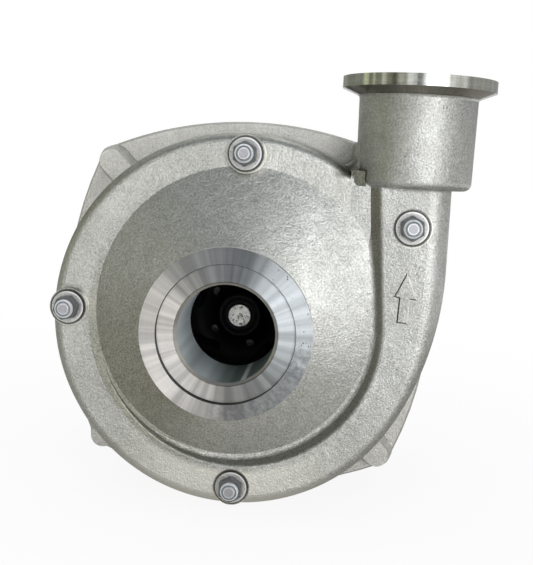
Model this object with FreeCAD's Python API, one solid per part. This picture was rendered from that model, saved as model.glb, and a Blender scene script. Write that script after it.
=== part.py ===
import FreeCAD
import Part
import math
import os

Vector = FreeCAD.Vector

# Engine-driven centrifugal pump, in millimetres. +Y runs from the suction flange to the engine, +Z up the
# discharge. Sizes along the shaft are depths behind the suction face, and save() moves the origin to the
# centre of the engine's face.

# Running and fitting clearances
thread_gap = 0.1
bolt_gap = 0.45
spigot_gap = 0.2
running_gap = 0.3
press_gap = 0.05
film_gap = 0.02

# Suction neck with its clamp flange
suction_bore_r = 23.5
suction_flange_r = 41.3
suction_rim = 5.0
suction_taper = 4.2
suction_wall = 7.5
suction_seat_r = 33.3
suction_seat_drop = 1.2
suction_chamfer = 1.5
eye_depth = 44.4

# Volute casing: cone, flat band, outline and wall
cone_depth = 31.0
cone_fillet = 8.0
cone_overlap = 2.5
drum_r = 96.0
band_width = 21.4
drum_round = 5.0
band_depth = 44.6
band_slope = 0.0186
band_low_angle = 67.0
joint_depth = 97.0
casing_wall = 6.2
casing_back_wall = 6.5

# Scroll: the part of the band that rises towards the discharge leg
scroll_lift = 6.2
scroll_start_angle = 205.0
scroll_rise_angle = -12.0
scroll_end_round = 11.0
scroll_wall_slope = 0.9
scroll_foot_inset = 3.6
scroll_foot_shift = 1.2
scroll_crest_round = 3.0
scroll_first_round = 0.3
scroll_foot_round = 3.0

# Discharge leg and cup
leg_lean_angle = 3.0
leg_spread = 9.3
leg_wall = 6.0
leg_straight_z = 32.0
shoulder_width = 30.9
shoulder_drop = 2.0
shoulder_fillet = 5.0
shoulder_depth_front = 53.0
shoulder_round = 4.0
drum_end_inset = 32.0
drum_end_rise = 8.0
discharge_inset = 18.8
discharge_depth = 62.0
cup_bottom_z = 71.8
cup_bottom_r = 29.5
cup_r = 30.2
cup_round = 4.0
discharge_face_z = 127.0
discharge_flange_r = 39.1
discharge_rim = 5.7
discharge_taper = 3.6
discharge_neck_round = 1.5
discharge_bore_r = 21.0
discharge_seat_r = 30.5
discharge_seat_drop = 1.2
discharge_chamfer = 1.5

# Flow passage of the volute
passage_start_angle = 33.0
passage_start_gap = 2.0
passage_even_growth = 6.0
passage_late_power = 5.0
passage_end_inset = 2.3
passage_top_z = 78.0
passage_straight_z = 26.0
passage_overlap = 5.0
passage_bend_share = 0.25
cutwater_width = 6.3
cutwater_round = 3.5

# Casing studs: three on the band, the fourth in the leg
top_stud_angle = 89.1
top_stud_inset = 10.8
left_stud_angle = 178.4
bottom_stud_angle = 271.4
band_stud_inset = 9.2
leg_stud_inset = 19.0
leg_stud_z = 52.7
stud_r = 3.175
stud_proud = 0.4
stud_bevel = 0.4
stud_end_gap = 1.0
nut_flats = 11.1
nut_height = 7.9
nut_hex_height = 5.4
nut_collar_r = 4.7
nut_collar_bevel = 0.7
lock_ring_r = 3.9
lock_ring_height = 2.0
lock_ring_sink = 0.3
washer_r = 8.7
washer_thickness = 1.5
nut_seat_depth = 40.3
nut_seat_r = 9.7
spot_face_height = 20.0
nut_turns = [30.0, 14.0, 29.0, 33.0]
pillar_r = 7.5

# Impeller
impeller_r = 63.5
impeller_eye_r = 24.0
impeller_neck_r = 28.0
impeller_lip_gap = 0.8
impeller_neck = 8.5
outlet_front_depth = 62.5
outlet_width = 11.0
shroud_thickness = 3.0
shroud_bend_width = 3.0
eye_flare = 1.0
eye_flare_length = 3.0
back_shroud_thickness = 3.5
hub_r = 10.6
hub_nose_depth = 61.5
hub_recess_r = 8.3
hub_recess_depth = 2.5
hub_edge_bevel = 0.8
hub_flare = 1.0
hub_foot_r = 25.4
hub_waist_depth = 68.1
hub_bend_r = 14.3
hub_bend_depth = 72.4
hub_rear_length = 3.0
hub_rear_r = 14.0
vane_count = 5
vane_thickness = 2.6
vane_inlet_r = 21.0
vane_inlet_angle = 24.0
vane_outlet_angle = 26.0
vane_overrun_angle = 3.0
vane_sink = 0.8
vane_front_gap = 0.5
balance_hole_r = 2.3
balance_circle_r = 17.5
balance_count = 5
balance_start_angle = 71.0
chamber_gap = 2.5
spigot_step = 1.0

# Wear ring round the impeller's neck
wear_ring_wall = 3.6
wear_ring_length = 7.5
wear_ring_chamfer = 0.8

# Impeller insert and pump shaft
shaft_thread_r = 6.35
shaft_end_proud = 2.0
shaft_end_bevel = 0.6
insert_cover = 1.5
insert_flats = 15.9
insert_length = 13.6
hub_seal_thickness = 1.2
shaft_r = 9.525
quill_r = 19.0
quill_solid = 8.0
quill_chamfer = 1.5
crank_r = 12.7
crank_gap = 0.02
crank_length = 88.5
crank_end_gap = 1.0
keyway_width = 6.35
keyway_height = 3.2
engine_end_gap = 14.0
set_screw_r = 3.97
set_screw_from_engine = 31.0
set_screw_socket = 4.0
set_screw_socket_depth = 1.9
set_screw_sunk = 0.4
set_screw_tip_gap = 0.5

# Back casing
plate_overhang = 7.2
plate_side_r = 198.0
plate_corner_round = 8.0
plate_thickness = 13.0
plate_edge_bevel = 1.2
spigot_end_bevel = 1.5
spigot_wall = 8.0
tongue_height = 10.1
tongue_overreach = 7.0
tongue_length = 34.2
tongue_half_width = 6.4
tongue_foot = 3.0
tongue_clearance = 2.0
rear_hub_r = 27.0
rear_hub_height = 4.0
seal_chamber_r = 21.5
shaft_hole_gap = 1.6
pocket_hub_wall = 3.0
drill_end_gap = 0.8

# Square-cut casing seal ring in the spigot's groove
seal_ring_size = 2.6
seal_groove_width = 3.4
seal_ring_inset = 3.3

# Shaft seal, from the fixed seat forward to the impeller's hub
seal_working_length = 17.5
seat_inner_r = 11.4
seat_outer_r = 14.6
seat_thickness = 6.5
seat_cup_wall = 2.8
seat_cup_floor = 1.4
seat_cup_front = 1.2
seat_cup_bevel = 0.8
seat_cup_lip = 0.6
seat_step = 0.8
seat_proud = 1.0
face_ring_outer_r = 14.2
face_ring_inner_r = 10.8
face_ring_thickness = 3.8
face_ring_step = 1.2
shell_r = 15.4
shell_wall = 0.9
shell_overlap = 1.6
shell_length = 7.0
shell_lip = 3.6
shell_corner = 1.0
bellows_wall = 1.8
bellows_bulge = 0.8
bellows_fold_gap = 1.8
bellows_fit_gap = 0.15
bellows_rim_gap = 0.5
bellows_rim_rise = 1.0
spring_wire_width = 1.8
spring_wire_height = 1.2
spring_turns = 2.5
retainer_thickness = 1.2
retainer_gap = 0.4
retainer_rim = 3.0

# Slinger ring
slinger_r = 17.5
slinger_thickness = 3.0
slinger_gap = 1.5
slinger_front_root = 3.0
slinger_back_root = 3.5
slinger_dish = 0.8
slinger_edge = 1.0

# Engine adapter: bell between the back casing and the engine
adapter_front_thickness = 10.0
adapter_front_r = 80.0
adapter_lug_r = 12.0
adapter_lug_flare = 3.0
adapter_barrel_r = 69.0
adapter_barrel_wall = 6.5
adapter_flange_r = 94.0
adapter_flange_thickness = 12.0
adapter_bevel = 1.2
window_width = 58.0
window_length = 62.0
window_round = 9.0
drain_width = 22.0
rib_thickness = 6.0
rib_offset_angle = 21.0
rib_front_r = 86.0
rib_end_inset = 3.0
barrel_sink = 3.0
pilot_r = 73.025
pilot_drop = 4.8
engine_circle_r = 82.55
engine_hole_r = 5.16

# Screws between adapter and back casing
corner_screw_inset = 30.2
corner_screw_r = 4.76
corner_screw_grip = 11.0
corner_head_flats = 14.3
corner_head_height = 6.2
corner_head_turn = 15.0
corner_head_slope = 1.2
corner_head_crown = 0.3
lock_washer_r = 8.1
lock_washer_thickness = 2.4
lock_washer_split = 1.2

# Cuts and joints reach this far past a surface, and cutting blocks are larger than the whole pump
overshoot = 1.0
beyond = 300.0

# Sizes that follow from those above
disc_r = drum_r - band_width
leg_outer_x = drum_r + leg_spread
shoulder_top_z = drum_r - shoulder_drop
discharge_x = leg_outer_x - discharge_inset
shoulder_x = discharge_x - shoulder_width
drum_end_x = discharge_x - drum_end_inset
cone_slope = (band_depth - cone_depth) / (disc_r - suction_bore_r - suction_wall)
chamber_r = impeller_r + chamber_gap
spigot_seat_r = chamber_r - spigot_step
passage_start_r = chamber_r + passage_start_gap
passage_end_x = leg_outer_x - leg_wall
passage_end_r = passage_end_x - passage_end_inset
passage_left_x = discharge_x - discharge_bore_r
plate_half_width = drum_r + plate_overhang
corner_screw_place = plate_half_width - corner_screw_inset
tongue_end_r = math.hypot(corner_screw_place, corner_screw_place) + tongue_overreach

# Depths that follow
impeller_lip_depth = eye_depth + impeller_lip_gap
outlet_back_depth = outlet_front_depth + outlet_width
shroud_back_depth = outlet_back_depth + back_shroud_thickness
hub_back_depth = shroud_back_depth + hub_rear_length
seal_face_depth = hub_back_depth + seal_working_length
wet_face_depth = shroud_back_depth + chamber_gap
volute_front_depth = band_depth + casing_wall
volute_back_depth = joint_depth - casing_back_wall
seal_ring_depth = joint_depth - seal_ring_inset
plate_back_depth = joint_depth + plate_thickness
rear_hub_depth = plate_back_depth + rear_hub_height
spigot_r = spigot_seat_r - spigot_gap
hub_floor_depth = hub_nose_depth + hub_recess_depth
shaft_end_depth = hub_floor_depth - shaft_end_proud
insert_front_depth = hub_nose_depth + hub_recess_depth + insert_cover
insert_back_depth = insert_front_depth + insert_length
shoulder_depth = insert_back_depth + hub_seal_thickness
quill_front_depth = rear_hub_depth + slinger_gap + slinger_thickness
crank_end_depth = quill_front_depth + quill_solid + crank_end_gap
pump_length = crank_end_depth + crank_length
quill_back_depth = pump_length - engine_end_gap
adapter_front_depth = plate_back_depth
adapter_flange_depth = pump_length - adapter_flange_thickness


# Shape helpers

def closed_face(corners, place):
    # Each corner is two numbers. With four, an arc through the last two runs from the corner before it.
    edges = []
    here = place(*corners[-1][:2])
    for corner in corners:
        there = place(*corner[:2])
        if len(corner) == 4:
            edges.append(Part.Arc(here, place(*corner[2:]), there).toShape())
        else:
            edges.append(Part.makeLine(here, there))
        here = there
    return Part.Face(Part.Wire(edges))


def turned(corners):
    # Corners are radius and depth, turned about the shaft's axis.
    face = closed_face(corners, lambda r, depth: Vector(r, depth, 0))
    return face.revolve(Vector(0, 0, 0), Vector(0, 1, 0), 360)


def turned_upright(corners):
    # Corners are radius and height, turned about the upright axis of the discharge.
    axis = Vector(discharge_x, discharge_depth, 0)
    face = closed_face(corners, lambda r, z: axis + Vector(r, 0, z))
    return face.revolve(axis, Vector(0, 0, 1), 360)


def slab(corners, front, back):
    # Corners are x and z, carried from one depth to another.
    face = closed_face(corners, lambda x, z: Vector(x, front, z))
    return face.extrude(Vector(0, back - front, 0))


def rod(radius, front, back, x=0.0, z=0.0):
    return Part.makeCylinder(radius, back - front, Vector(x, front, z), Vector(0, 1, 0))


def tube(outer, inner, front, back, x=0.0, z=0.0):
    return rod(outer, front, back, x, z).cut(rod(inner, front - overshoot, back + overshoot, x, z))


def hexagon(flats, front, back, x=0.0, z=0.0, turn=0.0):
    reach = flats / math.sqrt(3)
    angles = [math.radians(turn + 60 * side) for side in range(6)]
    corners = [(x + reach * math.cos(a), z + reach * math.sin(a)) for a in angles]
    return slab(corners, front, back)


def polar(radius, angle):
    return (radius * math.cos(math.radians(angle)), radius * math.sin(math.radians(angle)))


def rounded(shape, radius, chosen):
    return shape.makeFillet(radius, [edge for edge in shape.Edges if chosen(edge)])


def bevelled(shape, size, chosen):
    return shape.makeChamfer(size, [edge for edge in shape.Edges if chosen(edge)])


def is_ring(edge, radius, depth):
    curve = edge.Curve
    return (isinstance(curve, Part.Circle) and abs(curve.Radius - radius) < 0.01
            and abs(curve.Center.y - depth) < 0.01 and abs(edge.Length - 2 * math.pi * radius) < 0.1)


def stud_centres():
    return [
        polar(drum_r - top_stud_inset, top_stud_angle),
        polar(drum_r - band_stud_inset, left_stud_angle),
        polar(drum_r - band_stud_inset, bottom_stud_angle),
        (leg_outer_x - leg_stud_inset, leg_stud_z),
    ]


def save(shape, name):
    shape = shape.copy()
    shape.translate(Vector(0, -pump_length, 0))
    shape.exportStep("parts/" + name + ".step")


# Volute casing

def casing_outline():
    # Round drum that ends inside the cup, and one large arc that runs out of it into the straight leg.
    run_out_r = (leg_outer_x ** 2 + leg_straight_z ** 2 - drum_r ** 2) / (2 * (leg_outer_x - drum_r))
    run_out_x = leg_outer_x - run_out_r
    leave_angle = math.degrees(math.atan2(-leg_straight_z, -run_out_x))
    half_way = leave_angle / 2
    run_out_mid = (run_out_x + run_out_r * math.cos(math.radians(half_way)),
                   leg_straight_z + run_out_r * math.sin(math.radians(half_way)))
    drum_end_z = math.sqrt(drum_r ** 2 - drum_end_x ** 2)
    drum_top_z = cup_bottom_z + drum_end_rise
    return [
        (leg_outer_x, drum_top_z),
        (drum_end_x, drum_top_z),
        (drum_end_x, drum_end_z),
        (-drum_r, 0.0) + polar(drum_r, 135.0),
        (0.0, -drum_r) + polar(drum_r, 225.0),
        polar(drum_r, leave_angle) + polar(drum_r, (leave_angle - 90) / 2),
        (leg_outer_x, leg_straight_z) + run_out_mid,
    ]


def shoulder():
    # Web between the drum and the cup, set back from the band, with a round inner corner.
    fillet_x = shoulder_x - shoulder_fillet
    fillet_z = math.sqrt((drum_r + shoulder_fillet) ** 2 - fillet_x ** 2)
    meet_angle = math.degrees(math.atan2(fillet_z, fillet_x))
    fillet_mid_angle = (meet_angle - 180) / 2
    fillet_mid = (fillet_x + shoulder_fillet * math.cos(math.radians(fillet_mid_angle)),
                  fillet_z + shoulder_fillet * math.sin(math.radians(fillet_mid_angle)))
    body = slab([
        (discharge_x, shoulder_top_z),
        (shoulder_x, shoulder_top_z),
        (shoulder_x, fillet_z),
        polar(drum_r, meet_angle) + fillet_mid,
        polar(drum_r - drum_round, meet_angle),
        (discharge_x, cup_bottom_z),
    ], shoulder_depth_front, joint_depth)

    def front_edge(edge):
        box = edge.BoundBox
        outside = box.XMax < shoulder_x + 0.01 and box.ZMin > fillet_z - shoulder_fillet - 1
        return outside and box.YMax < shoulder_depth_front + 0.01

    return rounded(body, shoulder_round, front_edge)


def band_plane_depth(x, z):
    # The flat band leans back a little towards the start of the volute.
    low = polar(band_slope, band_low_angle)
    return band_depth + low[0] * x + low[1] * z


def scroll_start_point():
    return polar(0.5 * (disc_r + drum_r), scroll_start_angle)


def scroll_plane_depth(x, z):
    # Rises ahead of the band's plane from the starting line, by the full lift at the disc's edge.
    away = polar(1.0, scroll_rise_angle)
    start = scroll_start_point()
    slope = scroll_lift / ((disc_r - start[0]) * away[0] - start[1] * away[1])
    return band_plane_depth(x, z) - slope * ((x - start[0]) * away[0] + (z - start[1]) * away[1])


def ahead_of(plane_depth):
    # Everything in front of a slightly tilted plane, given by its depth at x and z.
    middle = plane_depth(0.0, 0.0)
    slope_x = plane_depth(1.0, 0.0) - middle
    slope_z = plane_depth(0.0, 1.0) - middle
    block = Part.makeBox(2 * beyond, beyond, 2 * beyond, Vector(-beyond, -beyond, -beyond))
    turn = math.degrees(math.atan(math.hypot(slope_x, slope_z)))
    block.rotate(Vector(0, 0, 0), Vector(-slope_z, 0, slope_x), turn)
    block.translate(Vector(0, middle, 0))
    return block


def edges_on(body, plane_depth, chosen):
    # Edges whose middle lies on the tilted plane and whose place passes the test.
    found = []
    for edge in body.Edges:
        middle = edge.valueAt((edge.FirstParameter + edge.LastParameter) / 2)
        if abs(middle.y - plane_depth(middle.x, middle.z)) < 0.01 and chosen(middle.x, middle.z):
            found.append(edge)
    return found


def drum():
    body = slab(casing_outline(), band_depth - scroll_lift, joint_depth).cut(ahead_of(band_plane_depth))

    def outside(x, z):
        return math.hypot(x, z) > drum_r - 0.1 and (x < drum_end_x - 1 or z < cup_bottom_z + 1)

    return body.makeFillet(drum_round, edges_on(body, band_plane_depth, outside))


def before_scroll_start():
    # Everything on the side of the scroll's starting line where it has not risen yet.
    start = scroll_start_point()
    block = Part.makeBox(beyond, 2 * beyond, 2 * beyond, Vector(-beyond, -beyond, -beyond))
    block.rotate(Vector(0, 0, 0), Vector(0, 1, 0), -scroll_rise_angle)
    block.translate(Vector(start[0], 0, start[1]))
    return block


def disc_clearing(height):
    # The space over the disc and the flat band. Its side is the scroll's sloping inner wall: round the disc,
    # then straight up the leg, leaning a little towards the middle.
    def level(rise):
        radius = disc_r - scroll_foot_inset + scroll_wall_slope * rise
        leave = polar(radius, leg_lean_angle)
        along = polar(2 * drum_r, leg_lean_angle + 90)
        corners = [
            (-2 * drum_r, 0.0),
            (-radius, 0.0),
            leave + (0.0, -radius),
            (leave[0] + along[0], leave[1] + along[1]),
            (-2 * drum_r, leave[1] + along[1]),
        ]
        depth = band_depth - rise
        return closed_face(corners, lambda x, z: Vector(x - scroll_foot_shift, depth, z)).OuterWire

    return Part.makeLoft([level(-height), level(height)], True, True)


def scroll():
    # Wedge on the band whose front face rises towards the leg, with an outer rounding that grows on the way.
    height = 2 * scroll_lift
    body = slab(casing_outline(), band_depth - height, band_depth + scroll_end_round + overshoot)
    body = body.cut(ahead_of(scroll_plane_depth)).cut(before_scroll_start())
    body = body.cut(disc_clearing(height + scroll_end_round + overshoot))

    def outside(x, z):
        return math.hypot(x, z) > drum_r - 0.1 and z < cup_bottom_z + 1

    def inner_crest(x, z):
        return math.hypot(x, z) < drum_r - drum_round and x > 0

    body = body.makeFillet(drum_round, scroll_end_round, edges_on(body, scroll_plane_depth, outside))
    crest = edges_on(body, scroll_plane_depth, inner_crest)
    return body.makeFillet(scroll_crest_round, scroll_first_round, crest)


def suction_neck():
    neck_r = suction_bore_r + suction_wall
    taper_depth = suction_rim + suction_taper
    body = turned([
        (0.0, 0.0),
        (suction_flange_r, 0.0),
        (suction_flange_r, suction_rim),
        (neck_r, taper_depth),
        (neck_r, cone_depth),
        (disc_r + cone_overlap / cone_slope, band_depth + cone_overlap),
        (disc_r, volute_front_depth),
        (0.0, volute_front_depth),
    ])
    return rounded(body, cone_fillet, lambda edge: is_ring(edge, neck_r, cone_depth))


def discharge_cup():
    # Round cup with the clamp flange on top.
    corner = cup_round * (1 - math.sqrt(0.5))
    taper_z = discharge_face_z - discharge_rim - discharge_taper
    corners = [
        (0.0, cup_bottom_z),
        (cup_bottom_r - cup_round, cup_bottom_z),
        (cup_bottom_r, cup_bottom_z + cup_round, cup_bottom_r - corner, cup_bottom_z + corner),
        (cup_r, taper_z),
        (discharge_flange_r, discharge_face_z - discharge_rim),
        (discharge_flange_r, discharge_face_z),
        (0.0, discharge_face_z),
    ]

    def under_flange(edge):
        level = abs(edge.BoundBox.ZMin - taper_z) < 0.01 and abs(edge.BoundBox.ZMax - taper_z) < 0.01
        return level and isinstance(edge.Curve, Part.Circle)

    return rounded(turned_upright(corners), discharge_neck_round, under_flange)


def passage_outline():
    # Spiral from the cutwater round the impeller, then the straight throat up the leg.
    turn = 360.0 - passage_start_angle
    late_growth = passage_end_r - passage_start_r - passage_even_growth
    depth = volute_front_depth

    def spiral_point(share):
        radius = passage_start_r + passage_even_growth * share
        radius += late_growth * share ** passage_late_power
        x, z = polar(radius, passage_start_angle + turn * share)
        return Vector(x, depth, z)

    steps = 12
    spiral = Part.BSplineCurve()
    spiral.interpolate([spiral_point(step / steps) for step in range(steps + 1)])
    first = spiral_point(0.0)
    last = spiral_point(1.0)
    bend_x = passage_end_x - passage_bend_share * (passage_end_x - last.x)
    bend = Vector(bend_x, depth, passage_straight_z / 2)
    straight = Vector(passage_end_x, depth, passage_straight_z)
    right_end = Vector(passage_end_x, depth, passage_top_z)
    left_end = Vector(passage_left_x, depth, passage_top_z)
    nose_end = Vector(first.x + cutwater_width, depth, first.z)
    nose_tip = Vector(first.x + cutwater_width / 2, depth, first.z - cutwater_round)
    throat = [
        Part.Arc(last, bend, straight).toShape(),
        Part.makeLine(straight, right_end),
        Part.makeLine(right_end, left_end),
        Part.makeLine(left_end, nose_end),
        Part.Arc(nose_end, nose_tip, first).toShape(),
    ]
    return Part.Wire([spiral.toShape()] + throat)


def flow_space():
    passage = Part.Face(passage_outline()).extrude(Vector(0, volute_back_depth - volute_front_depth, 0))
    wear_r = impeller_neck_r + running_gap + wear_ring_wall + press_gap
    wear_back = impeller_lip_depth + wear_ring_length
    front_wall_depth = outlet_front_depth - shroud_thickness - chamber_gap
    chamber = turned([
        (0.0, eye_depth),
        (wear_r, eye_depth),
        (wear_r, wear_back),
        (chamber_r, front_wall_depth),
        (chamber_r, volute_back_depth),
        (spigot_seat_r, volute_back_depth),
        (spigot_seat_r, joint_depth + overshoot),
        (0.0, joint_depth + overshoot),
    ])
    return passage.fuse(chamber)


def suction_space():
    # Bore, its bevel, and the step sunk in the clamp face.
    return turned([
        (0.0, -overshoot),
        (suction_seat_r, -overshoot),
        (suction_seat_r, suction_seat_drop),
        (suction_bore_r + suction_chamfer, suction_seat_drop),
        (suction_bore_r, suction_seat_drop + suction_chamfer),
        (suction_bore_r, eye_depth + overshoot),
        (0.0, eye_depth + overshoot),
    ])


def discharge_space():
    step_z = discharge_face_z - discharge_seat_drop
    return turned_upright([
        (0.0, discharge_face_z + overshoot),
        (discharge_seat_r, discharge_face_z + overshoot),
        (discharge_seat_r, step_z),
        (discharge_bore_r + discharge_chamfer, step_z),
        (discharge_bore_r, step_z - discharge_chamfer),
        (discharge_bore_r, passage_top_z - passage_overlap),
        (0.0, passage_top_z - passage_overlap),
    ])


def is_scroll_foot(edge):
    # Where the scroll's inner wall meets the cone.
    middle = edge.valueAt((edge.FirstParameter + edge.LastParameter) / 2)
    radius = math.hypot(middle.x, middle.z)
    on_cone = abs(middle.y - cone_depth - cone_slope * (radius - suction_bore_r - suction_wall)) < 0.01
    return on_cone and middle.x > suction_bore_r and disc_r - 2 * scroll_foot_inset < radius < disc_r


def volute_casing():
    body = drum().fuse([shoulder(), scroll(), suction_neck(), discharge_cup()])
    for x, z in stud_centres():
        body = body.fuse(rod(nut_seat_r, nut_seat_depth, joint_depth, x, z))
    body = rounded(body.removeSplitter(), scroll_foot_round, is_scroll_foot)
    body = body.cut(flow_space())
    for x, z in stud_centres():
        body = body.fuse(rod(pillar_r, volute_front_depth - overshoot, joint_depth, x, z))
        body = body.cut(rod(nut_seat_r, nut_seat_depth - spot_face_height, nut_seat_depth, x, z))
        body = body.cut(rod(stud_r + bolt_gap, nut_seat_depth - overshoot, joint_depth + overshoot, x, z))
    return body.cut([suction_space(), discharge_space()])


# Casing studs, nuts and washers

def joined(pieces):
    return Part.makeCompound(pieces)


def casing_studs():
    nut_back = nut_seat_depth - washer_thickness
    front = nut_back - nut_height - stud_proud
    back = plate_back_depth - stud_end_gap
    studs = []
    for x, z in stud_centres():
        stud = rod(stud_r, front, back, x, z)
        studs.append(bevelled(stud, stud_bevel, lambda edge: edge.BoundBox.YLength < 0.01))
    return joined(studs)


def stud_washers():
    back = nut_seat_depth
    return joined([tube(washer_r, stud_r + bolt_gap, back - washer_thickness, back, x, z)
                   for x, z in stud_centres()])


def hex_nut(flats, bore_r, front, back, x, z, turn):
    # The corners are turned off by a cone at the outer end.
    reach = flats / math.sqrt(3)
    chamfer = reach - flats / 2
    body = hexagon(flats, front, back, x, z, turn)
    length = 2 * chamfer
    cone = Part.makeCone(flats / 2, flats / 2 + length, length, Vector(x, front, z), Vector(0, 1, 0))
    cone = cone.fuse(rod(flats, front + length, back, x, z))
    return body.common(cone).cut(rod(bore_r, front - overshoot, back + overshoot, x, z))


def lock_nut(x, z, turn):
    # Hexagon with a round collar in front, which holds the locking ring.
    back = nut_seat_depth - washer_thickness
    front = back - nut_height
    collar = rod(nut_collar_r, front, back, x, z)
    collar = bevelled(collar, nut_collar_bevel, lambda edge: edge.BoundBox.YMax < front + 0.01)
    body = hex_nut(nut_flats, stud_r + thread_gap, back - nut_hex_height, back, x, z, turn).fuse(collar)
    body = body.cut(rod(lock_ring_r, front - overshoot, front + lock_ring_sink + lock_ring_height, x, z))
    return body.cut(rod(stud_r + thread_gap, front - overshoot, back + overshoot, x, z))


def stud_nuts():
    return joined([lock_nut(x, z, turn) for (x, z), turn in zip(stud_centres(), nut_turns)])


def nut_lock_rings():
    front = nut_seat_depth - washer_thickness - nut_height + lock_ring_sink
    return joined([tube(lock_ring_r - press_gap, stud_r + thread_gap, front, front + lock_ring_height, x, z)
                   for x, z in stud_centres()])


# Wear ring, pressed into the casing round the impeller's neck

def wear_ring():
    inner = impeller_neck_r + running_gap
    outer = inner + wear_ring_wall
    back = impeller_lip_depth + wear_ring_length
    return turned([
        (inner + wear_ring_chamfer, eye_depth),
        (outer, eye_depth),
        (outer, back),
        (inner, back),
        (inner, eye_depth + wear_ring_chamfer),
    ])


# Impeller: front shroud, back shroud with its hub, and curved vanes between them

def front_shroud():
    neck_back = impeller_lip_depth + impeller_neck
    edge_front = outlet_front_depth - shroud_thickness
    return turned([
        (impeller_eye_r, impeller_lip_depth),
        (impeller_neck_r, impeller_lip_depth),
        (impeller_neck_r, neck_back),
        (impeller_r, edge_front),
        (impeller_r, outlet_front_depth),
        (impeller_neck_r + shroud_bend_width, neck_back + shroud_thickness),
        (impeller_eye_r + eye_flare, neck_back),
        (impeller_eye_r, neck_back - eye_flare_length),
    ])


def hub_and_back_shroud():
    # The hub's nose is bevelled on both sides of its recess, and its foot runs out in an arc.
    return turned([
        (shaft_thread_r, hub_floor_depth),
        (hub_recess_r, hub_floor_depth),
        (hub_recess_r, hub_nose_depth + hub_edge_bevel),
        (hub_recess_r + hub_edge_bevel, hub_nose_depth),
        (hub_r - hub_edge_bevel, hub_nose_depth),
        (hub_r, hub_nose_depth + hub_edge_bevel),
        (hub_r + hub_flare, hub_waist_depth),
        (hub_foot_r, outlet_back_depth, hub_bend_r, hub_bend_depth),
        (impeller_r, outlet_back_depth),
        (impeller_r, shroud_back_depth),
        (hub_rear_r, shroud_back_depth),
        (hub_rear_r, hub_back_depth),
        (shaft_thread_r, hub_back_depth),
    ])


def vane_space():
    # Between the two shrouds, reaching a little into each so that the vanes join them.
    neck_back = impeller_lip_depth + impeller_neck
    return turned([
        (vane_inlet_r, neck_back + vane_front_gap),
        (impeller_neck_r + shroud_bend_width, neck_back + shroud_thickness - vane_sink),
        (impeller_r, outlet_front_depth - vane_sink),
        (impeller_r, outlet_back_depth + vane_sink),
        (vane_inlet_r, outlet_back_depth + vane_sink),
    ])


def vane(angle):
    # One circular arc that leaves the rim at the outlet angle and meets the eye at the inlet angle.
    out = math.radians(vane_outlet_angle)
    inlet = math.radians(vane_inlet_angle)
    arc_r = (impeller_r ** 2 - vane_inlet_r ** 2)
    arc_r /= 2 * (impeller_r * math.cos(out) - vane_inlet_r * math.cos(inlet))
    centre = (impeller_r - arc_r * math.cos(out), -arc_r * math.sin(out))
    centre_r = math.hypot(*centre)
    bend = math.degrees(math.acos((arc_r ** 2 + centre_r ** 2 - vane_inlet_r ** 2) / (2 * arc_r * centre_r)))
    back_angle = math.degrees(math.atan2(-centre[1], -centre[0]))
    rim_angle = math.degrees(math.atan2(-centre[1], impeller_r - centre[0])) - vane_overrun_angle
    inner_angle = back_angle - bend

    def on_arc(offset, turn):
        x, z = polar(arc_r + offset, turn)
        return (centre[0] + x, centre[1] + z)

    middle = (rim_angle + inner_angle) / 2
    half = vane_thickness / 2
    corners = [
        on_arc(half, rim_angle),
        on_arc(half, inner_angle) + on_arc(half, middle),
        on_arc(-half, inner_angle) + on_arc(0.0, inner_angle + math.degrees(half / arc_r)),
        on_arc(-half, rim_angle) + on_arc(-half, middle),
    ]
    blade = slab(corners, impeller_lip_depth, shroud_back_depth)
    blade.rotate(Vector(0, 0, 0), Vector(0, 1, 0), angle)
    return blade


def impeller():
    body = hub_and_back_shroud().fuse(front_shroud())
    vanes = [vane(turn * 360 / vane_count) for turn in range(vane_count)]
    space = vane_space()
    body = body.fuse([blade.common(space) for blade in vanes])
    body = body.cut(hexagon(insert_flats + 2 * press_gap, insert_front_depth, insert_back_depth))
    body = body.cut(rod(shaft_r + running_gap, insert_back_depth, hub_back_depth + overshoot))
    thread_r = shaft_thread_r + thread_gap
    body = body.cut(rod(thread_r, hub_floor_depth - overshoot, insert_front_depth + overshoot))
    for hole in range(balance_count):
        x, z = polar(balance_circle_r, balance_start_angle + hole * 360 / balance_count)
        body = body.cut(rod(balance_hole_r, hub_nose_depth, hub_back_depth + overshoot, x, z))
    return body.removeSplitter()


def impeller_insert():
    body = hexagon(insert_flats, insert_front_depth, insert_back_depth)
    thread_r = shaft_thread_r + thread_gap
    return body.cut(rod(thread_r, insert_front_depth - overshoot, insert_back_depth + overshoot))


def hub_seal_ring():
    return tube(shaft_r - running_gap, shaft_thread_r + thread_gap, insert_back_depth, shoulder_depth)


# Pump shaft: threaded end, seal journal and the hollow end that slides on the engine's crankshaft

def pump_shaft():
    body = turned([
        (0.0, shaft_end_depth),
        (shaft_thread_r - shaft_end_bevel, shaft_end_depth),
        (shaft_thread_r, shaft_end_depth + shaft_end_bevel),
        (shaft_thread_r, shoulder_depth),
        (shaft_r, shoulder_depth),
        (shaft_r, quill_front_depth),
        (quill_r - quill_chamfer, quill_front_depth),
        (quill_r, quill_front_depth + quill_chamfer),
        (quill_r, quill_back_depth - quill_chamfer),
        (quill_r - quill_chamfer, quill_back_depth),
        (0.0, quill_back_depth),
    ])
    bore_front = quill_front_depth + quill_solid
    body = body.cut(rod(crank_r + crank_gap, bore_front, quill_back_depth + overshoot))
    keyway = Part.makeBox(keyway_width, quill_back_depth - bore_front + overshoot, crank_r + keyway_height,
                          Vector(-keyway_width / 2, bore_front, 0))
    body = body.cut(keyway)
    for direction in screw_directions():
        hole = Part.makeCylinder(set_screw_r + thread_gap, quill_r + overshoot, set_screw_centre(), direction)
        body = body.cut(hole)
    return body


def set_screw_centre():
    return Vector(0, pump_length - set_screw_from_engine, 0)


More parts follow.
